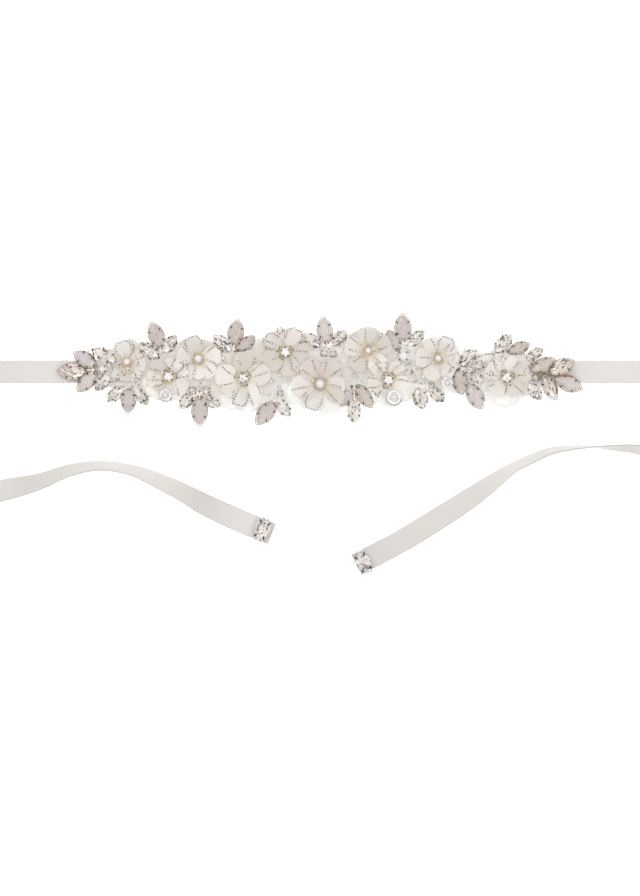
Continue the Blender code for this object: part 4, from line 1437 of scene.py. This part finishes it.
def joined(name, pieces):
    # Merges pieces into one plain mesh, with their finishes kept.
    bm = bmesh.new()
    looks = []
    for piece in pieces:
        first = len(bm.faces)
        bm.from_mesh(piece.data)
        bm.faces.ensure_lookup_table()
        for face in bm.faces[first:]:
            look = piece.data.materials[face.material_index]
            if look not in looks:
                looks.append(look)
            face.material_index = looks.index(look)
        bpy.data.objects.remove(piece)
    mesh = bpy.data.meshes.new(name)
    bm.to_mesh(mesh)
    bm.free()
    for look in looks:
        mesh.materials.append(look)
    return placed(name, mesh)


backingPiece = backingCloth()
edgesOfStones = stoneEdges()
petalPieces = {name: petalPiece(name, edgesOfStones) for name in flowers}
print("petals cut:", len(petalPieces))


netScraps = [
    # x, y, heading, length, half spread
    (-54.0, -11.0, 262, 9.5, 40), (-45.5, -13.0, 285, 8.5, 30), (0.0, -13.0, 268, 9.0, 42),
    (9.0, -11.0, 300, 9.0, 34), (94.0, -6.0, 235, 10.5, 38), (106.0, -8.0, 283, 10.0, 44),
    (-94.0, -6.0, 262, 8.5, 34), (-83.0, -8.0, 290, 8.0, 40), (33.5, -10.0, 262, 9.5, 42),
    (76.0, 6.0, 62, 9.0, 36), (-100.5, 8.0, 80, 8.0, 34), (-113.0, 6.0, 128, 9.5, 32),
    (22.0, 15.0, 112, 11.5, 42), (34.0, 16.0, 78, 9.0, 34), (-13.0, 15.5, 70, 9.5, 34),
    (-30.5, 13.0, 140, 8.0, 34), (71.5, 12.0, 100, 7.5, 34), (-69.0, 12.0, 70, 8.5, 36),
    (47.5, -8.0, 300, 9.0, 34), (-36.0, -13.0, 280, 9.5, 34),
]
netCut = {
    "rows": 7,
    "columns": 21,
    "wall": 0.16,
    "root": 1.0,
    "round": 0.22,               # share of the length lost at the two sides
    "wave": 0.06,
    "lift": 0.12,
    "rise": 0.25,
    "ruffle": 0.22,
    "meanReach": 0.93,
    "cutShare": 0.7,             # of the cloth that the scraps are cut from
}


def netScrapPiece():
    # Small fans of net tucked under the petals, with wavy edges.
    chance = random.Random(seeds["netScraps"])
    bm = bmesh.new()
    area = 0.0
    half = (netCut["columns"] - 1) // 2
    for x, y, heading, length, spread in netScraps:
        wave = chance.uniform(0, 6.3)
        rows = []
        uvs = []
        for r in range(netCut["rows"]):
            share = r / (netCut["rows"] - 1)
            row = []
            for c in range(netCut["columns"]):
                off = spread * (c / half - 1)
                edge = 1 - netCut["round"] * (off / spread) ** 4
                edge += netCut["wave"] * math.sin(off * 0.31 + wave)
                radius = netCut["root"] + (length * edge - netCut["root"]) * share
                z = levels["seat"] + netCut["lift"] + netCut["rise"] * share
                z += netCut["ruffle"] * share * math.sin(off * 0.24 + wave * 2)
                row.append(Vector((*around(x, y, radius, math.radians(heading + off)), z)))
            rows.append(row)
            uvs.append([(c / (2 * half), share) for c in range(netCut["columns"])])
        clothShell(bm, rows, uvs, netCut["wall"])
        area += 0.5 * (length * netCut["meanReach"]) ** 2 * math.radians(2 * spread)
    piece = rides(newPiece("net_scraps", bm, ["net"], 60))
    area * mm * mm


netScrapPiece()


def ringOf(x, y, radius, z, count=20):
    return [(*around(x, y, radius, 2 * math.pi * k / count), z) for k in range(count)]


def turnedShape(bm, x, y, profile, look=0, count=20):
    # A round closed shape from a profile of radius and height.
    loft(bm, [ringOf(x, y, radius, z, count) for radius, z in profile], look)


# Rings of a cut stone, from its foot up: points, turn in steps and share of the outline.
facetRings = [(16, 0.0, 0.80), (16, 0.0, 0.91), (16, 0.5, 0.74), (8, 0.0, 0.50), (8, 0.5, 0.25)]
# Tones a facet may take: painted reflections, light or dark.
facetReflectionTones = (1.0, 1.0, 0.95, 0.85, 0.7, 0.5, 0.1)
evenTone = 0.8


def facetStone(bm, layer, fire, matrix, length, width, heights, chance, look=0, contrast=1.0):
    # A faceted stone: closed foot, girdle, crown and a table cut into triangles. Each facet carries a
    # painted reflection, a tone light or dark as it throws the light back.
    rings = []
    for (count, shift, share), z in zip(facetRings, (*heights, heights[-1])):
        points = [stonePoint((k + shift) / count, length, width, share) for k in range(count)]
        rings.append([bm.verts.new(matrix @ Vector((px, py, z))) for px, py in points])
    bottom, belt, upper, top, inner = rings
    centre = bm.verts.new(matrix @ Vector((0, 0, heights[-1])))
    faces = [bm.faces.new(list(reversed(bottom)))]
    for k in range(16):
        j = (k + 1) % 16
        faces.append(bm.faces.new((bottom[k], bottom[j], belt[j], belt[k])))
        faces.append(bm.faces.new((belt[k], belt[j], upper[k])))
        faces.append(bm.faces.new((upper[k], belt[j], upper[j])))
    for k in range(8):
        j = (k + 1) % 8
        faces.append(bm.faces.new((upper[(2 * k - 1) % 16], upper[2 * k], top[k])))
        faces.append(bm.faces.new((upper[2 * k], upper[2 * k + 1], top[j])))
        faces.append(bm.faces.new((upper[2 * k], top[j], top[k])))
        faces.append(bm.faces.new((top[k], top[j], inner[k])))
        faces.append(bm.faces.new((inner[k], top[j], inner[j])))
        faces.append(bm.faces.new((inner[k], inner[j], centre)))
    # Painted light makes one end of a stone lighter than the other, and one side of a milky one too. A
    # milky stone has one tint all over.
    paintedSideLight = chance.choice((-1.0, 1.0)) * chance.uniform(0.1, 0.3)
    shade = chance.uniform(-0.22, 0.16)
    tint = chance.random()
    inverse = matrix.inverted()
    for face in faces:
        tone = chance.choice(facetReflectionTones) - evenTone
        middle = inverse @ face.calc_center_median()
        face.material_index = look
        face[layer] = evenTone + (tone + paintedSideLight * middle.x / (length / 2)) * contrast
        face[layer] += (shade + paintedSideLight * middle.y / (width / 2)) * (1.0 - contrast)
        face[fire] = chance.random() if contrast == 1.0 else tint


def gemPiece(name, stones, chance):
    # Faceted stones in one piece. Each is placed by a matrix, and milky ones have little contrast.
    bm = bmesh.new()
    layer = bm.faces.layers.float.new("tone")
    fire = bm.faces.layers.float.new("fire")
    looks = []
    for matrix, length, width, heights, kind in stones:
        if kind not in looks:
            looks.append(kind)
        contrast = 1.0 if kind in ("clear", "champagne", "brilliant") else 0.5
        facetStone(bm, layer, fire, matrix, length, width, heights, chance, looks.index(kind), contrast)
    return newPiece(name, bm, looks, 0)


def clawPiece(runs, cut, fine=1.0, look="darkClaw"):
    return wires("claws", runs, cut["clawRadius"] * fine, look, cut["clawTip"] * fine, cut["clawTaper"])


pearlRadius = {"flower_01": 2.3, "flower_03": 2.6, "flower_06": 2.9, "flower_07": 2.0, "flower_09": 2.2}
pearlPost = {
    "stem": 0.8,
    "rim": 0.75,                 # how far the rim stands out past the pearl
    "profile": [(1.0, 0.2), (0.0, 1.0), (0.15, 1.25), (1.2, 0.6)],   # in from the rim, over the seat
}
footSink = 0.2                   # how far the feet of the middles go into the cloth
crystalCup = {
    "radius": 2.9,
    "heights": (1.5, 1.75, 2.35, 3.0),
    "claws": 5,
    "clawRadius": 0.30,
    "clawTip": 0.44,
    "clawTaper": 0.2,
    # radius and height over the seat
    "clawRun": [(2.6, 0.7), (2.78, 1.6), (2.72, 2.1), (2.42, 2.4)],
    "profile": [(1.4, 0.0), (2.0, 0.0), (2.5, 1.1), (2.62, 1.5), (2.5, 1.6), (2.3, 1.45)],
    "foot": 1.2,
}


def crystalMiddle(name, chance):
    x, y = flowers[name]["x"], flowers[name]["y"]
    number = name[-2:]
    seat = levels["centreSeat"]
    place = Matrix.Translation((x, y, seat)) @ Matrix.Rotation(chance.random(), 4, "Z")
    side = 2 * crystalCup["radius"]
    gem = gemPiece("crystal_" + number, [(place, side, side, crystalCup["heights"], "brilliant")], chance)
    rides(gem, ["centre_" + number])
    cup = bmesh.new()
    turnedShape(cup, x, y, [(crystalCup["foot"], levels["seat"] - footSink)]
                + [(radius, seat + z) for radius, z in crystalCup["profile"]])
    runs = []
    for k in range(crystalCup["claws"]):
        angle = 2 * math.pi * (k + chance.uniform(0.15, 0.45)) / crystalCup["claws"]
        runs.append(([(*around(x, y, out, angle), seat + z) for out, z in crystalCup["clawRun"]], False))
    return [newPiece("cup", cup, ["goldWire"], 50), clawPiece(runs, crystalCup)]


def ballShape(bm, x, y, z, radius, look=0, rings=11, count=20):
    # A ball that touches its foot at z, closed at both poles.
    profile = []
    for k in range(1, rings):
        angle = math.pi * k / rings
        profile.append((radius * math.sin(angle), z + radius - radius * math.cos(angle)))
    turnedShape(bm, x, y, profile, look, count)


def pearlMiddle(name):
    x, y = flowers[name]["x"], flowers[name]["y"]
    number = name[-2:]
    seat = levels["centreSeat"]
    radius = pearlRadius[name]
    bm = bmesh.new()
    ballShape(bm, x, y, seat, radius)
    rides(newPiece("pearl_" + number, bm, ["pearl"], 180), ["centre_" + number])
    post = bmesh.new()
    rim = radius + pearlPost["rim"]
    turnedShape(post, x, y, [(pearlPost["stem"], levels["seat"] - footSink), (pearlPost["stem"], seat)]
                + [(rim - inward, seat + z) for inward, z in pearlPost["profile"]])
    return [newPiece("post", post, ["peachGold"], 50)]


def dressFlower(name, ground, order):
    # The middle, its gold work and the strings of beads on one flower. Each has a seed of its own.
    number = name[-2:]
    crystal = flowers[name]["centre"] == "crystal"
    chance = random.Random(seeds["middle"] + order)
    work = crystalMiddle(name, chance) if crystal else pearlMiddle(name)
    work.append(goldSpikes(name, ground, seeds["spikes"] + order))
    work += heartRing(name, ground, heartWork[name][3], seeds["heart"] + order)
    gold = rides(joined("goldwork_" + number, work))
    piece, rims, area = petalPieces[name]
    share = seedBeads["goldShare"]
    size = (seedBeads["radius"], seedBeads["pitch"])
    strings = [
        beads("inner", strandRuns(name, ground, 0.0, share), *size, "goldWire",
              seeds["innerBeads"] + order),
        beads("outer", strandRuns(name, ground, share, 1.0), *size, "silverSeed",
              seeds["outerBeads"] + order, variation=0.15),
    ]
    if rims:
        strings.append(beads("rims", rims, seedBeads["rimRadius"], seedBeads["rimPitch"], "silverSeed",
                             seeds["rimBeads"] + order, variation=0.12))
    beadwork = rides(joined("seedbeads_" + number, strings))
    side = math.sqrt(area / petalCut["cutShare"])
    area * mm * mm


petalGround = Ground([entry[0] for entry in petalPieces.values()] + [backingPiece])
for order, name in enumerate(flowers):
    dressFlower(name, petalGround, order)
print("flowers dressed")


setting = {
    # share of the outline and height, from the foot, over the rim and down to the stone's seat
    "profile": [(0.70, 0.0), (0.90, 1.1), (0.975, 1.9), (0.97, 2.15), (0.89, 2.25), (0.84, 1.75)],
    "beadShare": 1.01,
    "beadHeight": 2.25,
    "beadRadius": 0.27,
    "beadPitch": 0.66,
    # the painted shade on every second milling bead
    "millingDotShade": 0.35,
    "beadVariation": 0.14,
    "lineShare": 1.075,          # the dark line round the cup of a warm stone
    "lineHeight": 1.95,
    "lineRadius": 0.20,
    "gemShare": 1.06,            # the stone's size to its setting's
    "gemHeights": (1.8, 2.15, 2.95, 3.75),
    "clawPlace": 0.46,           # share of the half length
    # share of the outline and height, up the side of a setting and over the edge of the stone
    "clawRun": [(0.98, 1.2), (1.03, 2.2), (0.97, 2.75), (0.83, 3.0)],
    "clawRadius": 0.27,
    "clawTip": 0.39,
    "clawTaper": 0.15,
    "endClaw": 0.055,            # how far, in turns, the end claws stand from a stone's point
    "fullWidth": 7.5,            # the metal is finer on a stone narrower than this
    "joinHeight": 2.45,
    "joinRadius": {"left": 0.32, "right": 0.55},
    "studRadius": 0.58,
    "stemRadius": 0.6,
    "stemHeight": 2.3,
}
paleKinds = ("clear", "moonstone", "champagne")
linedKinds = ("opal", "paleOpal", "champagne")
# Dark metal that joins the cups of touching stones: runs in plan, then short blunt ones.
joins = [
    [(131.8, 5.5), (130.6, 3.1), (129.3, 0.5), (130.3, -2.0), (131.8, -3.2)],
    [(132.2, -2.9), (134.6, -2.8), (138.4, -2.4), (142.2, -2.8)],
    [(122.1, -0.7), (124.6, -1.0), (127.7, -1.4), (130.3, -2.3)],
    [(124.3, -1.4), (124.3, -4.5)], [(132.2, -6.0), (133.7, -9.2), (133.4, -12.0)],
    [(-136.7, 4.6), (-133.8, 2.4), (-132.0, 0.5), (-130.1, 1.5)],
    [(-130.1, 1.2), (-132.0, -0.6), (-133.8, -2.3), (-135.7, -3.8), (-136.7, -6.7)],
    [(-130.7, 10.3), (-128.2, 8.4), (-127.0, 5.9)], [(-127.0, -5.4), (-128.0, -8.0)],
    [(-128.4, 13.1), (-128.2, 11.0), (-127.6, 8.6), (-127.2, 6.8)],
]
studs = [
    [(124.4, 9.3), (123.5, 8.7)], [(116.3, 4.3), (116.9, 4.1)], [(118.9, 4.3), (119.6, 4.1)],
    [(116.2, 13.1), (116.9, 12.5)], [(105.4, 11.9), (106.2, 11.3)], [(107.2, 17.5), (107.8, 16.9)],
    [(131.0, 3.6), (130.6, 2.7)], [(-132.6, 1.0), (-131.4, 0.2)], [(139.0, -2.2), (140.2, -2.4)],
    [(-91.3, 8.2), (-90.5, 7.4)], [(-47.6, 14.0), (-47.0, 13.0)], [(-48.4, 11.6), (-47.6, 10.6)],
    [(4.2, 12.9), (5.0, 12.5)], [(-67.9, -10.9), (-67.9, -11.8)], [(79.6, 3.1), (80.4, 2.7)],
    [(88.0, 7.4), (87.0, 6.8)], [(86.2, -6.9), (87.0, -7.7)],
    [(-128.5, 13.0), (-128.1, 12.3)], [(-127.9, 10.3), (-127.6, 9.6)], [(-124.6, 11.0), (-124.0, 10.6)],
]


def outlineRun(place, size, share, z, count, point=1.65):
    # Points round a placed stone, at a share of its outline.
    return [tuple(place @ Vector((*stonePoint(k / count, *size, share, point), z))) for k in range(count)]


def cupPiece(place, size, profile, look, point=1.65):
    metal = bmesh.new()
    loft(metal, [outlineRun(place, size, share, z, 32, point) for share, z in profile])
    return newPiece("cup", metal, [look], 50)


def clawRuns(place, size, steps, turnShares, point=1.65):
    # A claw goes up the side of a setting at each share of a turn, and bends over the stone.
    return [([tuple(place @ Vector((*stonePoint(turnShare, *size, share, point), z)))
              for share, z in steps], False) for turnShare in turnShares]


def clawShares(length, width):
    # Where the four claws stand round the outline.
    if length <= width:
        return [(k + 0.5) / 4 for k in range(4)]
    share = math.acos(setting["clawPlace"]) / (2 * math.pi)
    return [share, 0.5 - share, 0.5 + share, 1 - share]


def sprayPiece(name, hub, stones, order):
    gems = []
    parts = []
    for number, (x, y, length, width, turn, kind) in enumerate(stones):
        size = (length, width)
        place = Matrix.Translation((x, y, levels["seat"])) @ Matrix.Rotation(math.radians(turn), 4, "Z")
        share = setting["gemShare"]
        gems.append((place, length * share, width * share, setting["gemHeights"], kind))
        look = "paleSilver" if kind in paleKinds else "agedSilver"
        parts.append(cupPiece(place, size, setting["profile"], look))
        fine = min(1.0, (width / setting["fullWidth"]) ** 0.7)
        milling = outlineRun(place, size, setting["beadShare"], setting["beadHeight"], 48)
        parts.append(beads("milling", [(milling, True)], setting["beadRadius"] * fine,
                           setting["beadPitch"] * fine, look, seeds["milling"] + 10 * order + number,
                           variation=setting["beadVariation"], wear=setting["millingDotShade"], facets=6))
        if kind in linedKinds:
            line = outlineRun(place, size, setting["lineShare"], setting["lineHeight"], 48)
            parts.append(wires("line", [(line, True)], setting["lineRadius"], "darkLine"))
        claws = clawRuns(place, size, setting["clawRun"], clawShares(length, width))
        parts.append(clawPiece(claws, setting, fine))
        if hub and kind in linedKinds:
            # Two blunt claws hold the end that points to the hub.
            near = (place.inverted() @ Vector((hub[0], hub[1], 0.0))).x > 0
            ends = [(0.0 if near else 0.5) + side * setting["endClaw"] for side in (-1, 1)]
            blunt = clawRuns(place, size, setting["clawRun"], ends)
            parts.append(clawPiece(blunt, setting, look="brownMetal"))
    if hub:
        z = levels["seat"] + setting["stemHeight"]
        stems = [([(*hub, z), (*stone[:2], z)], False) for stone in stones]
        parts.append(wires("stems", stems, setting["stemRadius"], "creamStem", sides=8))
    rides(joined("setting_" + name, parts), [name])
    rides(gemPiece("gems_" + name, gems, random.Random(seeds["gems"] + order)), [name])


def joinPiece():
    z = levels["seat"] + setting["joinHeight"]
    parts = []
    for sideName, radius in setting["joinRadius"].items():
        onSide = [run for run in joins if (run[0][0] < 0) == (sideName == "left")]
        bars = [([(x, y, z) for x, y in run], False) for run in onSide]
        parts.append(wires("bars", bars, radius, "brownMetal", radius))
    blunt = [([(x, y, z) for x, y in run], False) for run in studs]
    parts.append(wires("studs", blunt, setting["studRadius"], "brownMetal", setting["studRadius"]))
    rides(joined("joins", parts))


for order, (name, (hub, stones)) in enumerate(sprays.items()):
    sprayPiece(name, hub, stones, order)
joinPiece()
print("stones set")


endStone = {
    "length": 11.8,
    "width": 8.7,
    # how far it stands from the cut end, and off the middle of the ribbon
    "inset": {"left": 6.1, "right": 4.1},
    "shift": {"left": -0.1, "right": -0.6},
    "lift": 0.95,
    "frameIndex": 3,
    "heights": (1.8, 2.2, 3.1, 4.1),
    "profile": [(0.74, 0.0), (0.93, 1.2), (0.99, 2.0), (0.99, 2.2), (0.93, 2.25), (0.88, 1.8)],
    "claws": (0.11, 0.39, 0.61, 0.89),
    "clawRun": [(1.0, 1.2), (1.05, 2.3), (0.98, 2.9), (0.82, 3.2)],
    "clawRadius": 0.42,
    "clawTip": 0.55,
    "clawTaper": 0.1,
    "lobePlace": 0.2,            # how far a lobe's middle lies within the end of the stone
    "lobeSide": 1.35,
    "lobeHeight": 2.0,
    "lobeRadius": 0.95,
    "lobeWire": 0.46,
}


def endCrystal(sideName, frames, order):
    along, side, normal = frames[endStone["frameIndex"]][1:]
    seat = frames[0][0] + along * endStone["inset"][sideName] + side * endStone["shift"][sideName]
    seat = seat + normal * endStone["lift"]
    turn = Matrix((side, normal.cross(side), normal)).transposed()
    place = Matrix.Translation(seat) @ turn.to_4x4()
    length, width = size = endStone["length"], endStone["width"]
    claws = clawRuns(place, size, endStone["clawRun"], endStone["claws"], 1.0)
    lobes = []
    for way in (-1, 1):
        for across in (-endStone["lobeSide"], endStone["lobeSide"]):
            middle = (way * (length / 2 - endStone["lobePlace"]), across)
            ring = ringOf(*middle, endStone["lobeRadius"], endStone["lobeHeight"], 12)
            lobes.append(([tuple(place @ Vector(point)) for point in ring], True))
    parts = [
        cupPiece(place, size, endStone["profile"], "brightSilver", 1.0),
        clawPiece(claws, endStone),
        wires("lobes", lobes, endStone["lobeWire"], "brightSilver"),
    ]
    node = "end_stone_" + sideName
    rides(joined("setting_" + node, parts), [node])
    # A round stone, drawn out to an oval.
    oval = place @ Matrix.Diagonal((length / width, 1.0, 1.0, 1.0))
    gem = gemPiece("gem_" + node, [(oval, width, width, endStone["heights"], "clear")],
                   random.Random(seeds["endGem"] + order))
    rides(gem, [node])


for order, (sideName, frames) in enumerate(endFrames.items()):
    endCrystal(sideName, frames, order)
print("end crystals set")


cupSequins = {
    "cup_sequin_1": (-87.0, -13.3, 3.2),
    "cup_sequin_2": (41.7, -14.6, 4.0),
    "cup_sequin_3": (71.6, -6.6, 3.1),
}
sequin = {
    # share of the radius and height over the foot, then the eye that the pearl covers
    "profile": [(0.35, 0.0), (0.96, 0.85), (1.0, 1.2), (0.93, 1.2), (0.6, 0.8)],
    "eye": (0.3, 0.65),
    "pearlShare": 0.42,
    "pearlLift": 0.7,
    # share of the radius, height and points of each wire hoop
    "hoops": [(0.99, 1.2, 28), (0.66, 1.0, 24)],
    "hoopWire": 0.20,
}
looseParts = [
    # x, y, radius, finish
    (-27.5, -5.8, 1.15, "pearl"), (-22.6, -2.5, 1.05, "pearl"), (-22.9, -8.5, 1.15, "pearl"),
    (-28.5, -12.8, 1.05, "pearl"), (20.1, -2.5, 1.15, "pearl"), (16.2, 2.8, 0.9, "pearl"),
    (58.0, -3.1, 1.15, "pearl"), (-54.5, 7.3, 0.9, "goldWire"), (42.9, 10.5, 0.8, "pearl"),
    (50.3, 11.3, 0.8, "pearl"), (33.1, -15.8, 0.9, "shell"), (-64.6, -4.2, 0.8, "pearl"),
    (90.6, 8.8, 0.8, "silverSeed"), (-98.6, 9.5, 0.8, "silverSeed"),
]
loops = [
    # beaded rings and arcs: points in plan, closed
    ([around(-22.6, 23.2, 1.7, k * math.pi / 5) for k in range(10)], True),
    ([(88.6, 8.0), (91.0, 9.2), (94.0, 9.9), (97.6, 10.1)], False),
    ([around(41.7, -14.6, 4.5, k * math.pi / 12) for k in range(13, 24)], False),
    ([around(-87.0, -13.3, 3.7, k * math.pi / 12) for k in range(14, 23)], False),
]


def sequinPiece(name, x, y, radius):
    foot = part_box(name)[0].z / mm
    bm = bmesh.new()
    eye, eyeHeight = sequin["eye"]
    turnedShape(bm, x, y, [(radius * share, foot + z) for share, z in sequin["profile"]]
                + [(eye, foot + eyeHeight)])
    dish = newPiece("dish", bm, ["shell"], 60)
    bead = bmesh.new()
    ballShape(bead, x, y, foot + sequin["pearlLift"], radius * sequin["pearlShare"])
    ball = newPiece("ball", bead, ["pearl"], 180)
    hoops = [(ringOf(x, y, radius * share, foot + z, count), True) for share, z, count in sequin["hoops"]]
    wire = wires("hoops", hoops, sequin["hoopWire"], "brightSilver")
    rides(joined("sequin_" + name[-1], [dish, ball, wire]), [name])


for name, (x, y, radius) in cupSequins.items():
    sequinPiece(name, x, y, radius)


specks = [
    # middle x, y, half width, half depth, number of short strings, finish
    (-113.5, -1.0, 6.0, 5.5, 15, "silverSeed"), (-108.5, 1.0, 4.5, 1.8, 6, "goldSeed"),
    (-101.5, 0.5, 3.5, 5.0, 6, "silverSeed"), (-102.5, 10.5, 3.5, 2.0, 4, "goldSeed"),
    (-77.0, 1.0, 3.5, 5.0, 6, "silverSeed"), (-95.5, -3.0, 3.0, 4.0, 5, "goldSeed"),
    (-68.0, -9.0, 6.0, 1.8, 5, "silverSeed"), (-56.5, 9.5, 2.5, 3.0, 3, "silverSeed"),
    (-14.5, 0.5, 3.0, 2.0, 3, "silverSeed"), (34.0, 4.0, 3.0, 2.0, 4, "goldSeed"),
    (53.0, 1.0, 4.5, 4.0, 7, "silverSeed"), (56.0, -6.5, 3.0, 1.5, 3, "silverSeed"),
    (84.0, 2.0, 5.5, 3.5, 8, "silverSeed"), (95.5, -1.0, 2.5, 4.5, 5, "silverSeed"),
    (75.5, 3.5, 2.5, 3.0, 3, "silverSeed"), (33.0, -13.0, 2.0, 2.5, 3, "silverSeed"),
    (100.0, 9.0, 3.5, 1.5, 4, "silverSeed"), (117.5, 2.5, 2.0, 3.0, 3, "silverSeed"),
    (95.5, 7.5, 2.5, 2.5, 5, "silverSeed"), (-127.5, 12.0, 1.5, 1.2, 3, "silverSeed"),
    (-104.0, -5.5, 2.5, 1.8, 5, "silverSeed"), (91.0, -9.5, 1.5, 2.0, 2, "silverSeed"),
]
speckBeads = {
    "radius": 0.36,
    "pitch": 0.85,
    "length": 2.4,
    "share": (0.5, 1.3),         # of that length, shortest and longest
    "bend": 0.2,
    "lift": 0.25,
    "variation": 0.3,
}
looseBeads = {
    "radius": 0.46,
    "pitch": 0.95,
    "lift": 0.3,
    "sink": 0.1,
    "rings": 7,
    "sides": 12,
}


def speckPiece():
    # Short strings of tiny beads strewn where the sewing is dense.
    chance = random.Random(seeds["specks"])
    pieces = []
    for order, (x, y, wide, deep, count, look) in enumerate(specks):
        runs = []
        for k in range(count):
            startX = x + wide * chance.uniform(-1, 1)
            startY = y + deep * chance.uniform(-1, 1)
            heading = chance.uniform(0, 2 * math.pi)
            length = speckBeads["length"] * chance.uniform(*speckBeads["share"])
            plan = [around(startX, startY, length * i / 3, heading + speckBeads["bend"] * i)
                    for i in range(4)]
            runs.append((petalGround.laid(plan, speckBeads["lift"]), False))
        pieces.append(beads("speck", runs, speckBeads["radius"], speckBeads["pitch"], look,
                            seeds["speckBeads"] + order, variation=speckBeads["variation"]))
    rides(joined("specks", pieces))


def loosePieces():
    bm = bmesh.new()
    looks = ["pearl", "goldWire", "shell", "silverSeed"]
    for x, y, radius, look in looseParts:
        foot = petalGround.height(x, y) - looseBeads["sink"]
        ballShape(bm, x, y, foot, radius, looks.index(look), looseBeads["rings"], looseBeads["sides"])
    rides(newPiece("loose_pearls", bm, looks, 180))
    runs = [(petalGround.laid(plan, looseBeads["lift"]), closed) for plan, closed in loops]
    rides(beads("loose_strings", runs, looseBeads["radius"], looseBeads["pitch"], "silverSeed",
                seeds["looseBeads"]))


loosePieces()
speckPiece()
print("small parts laid")
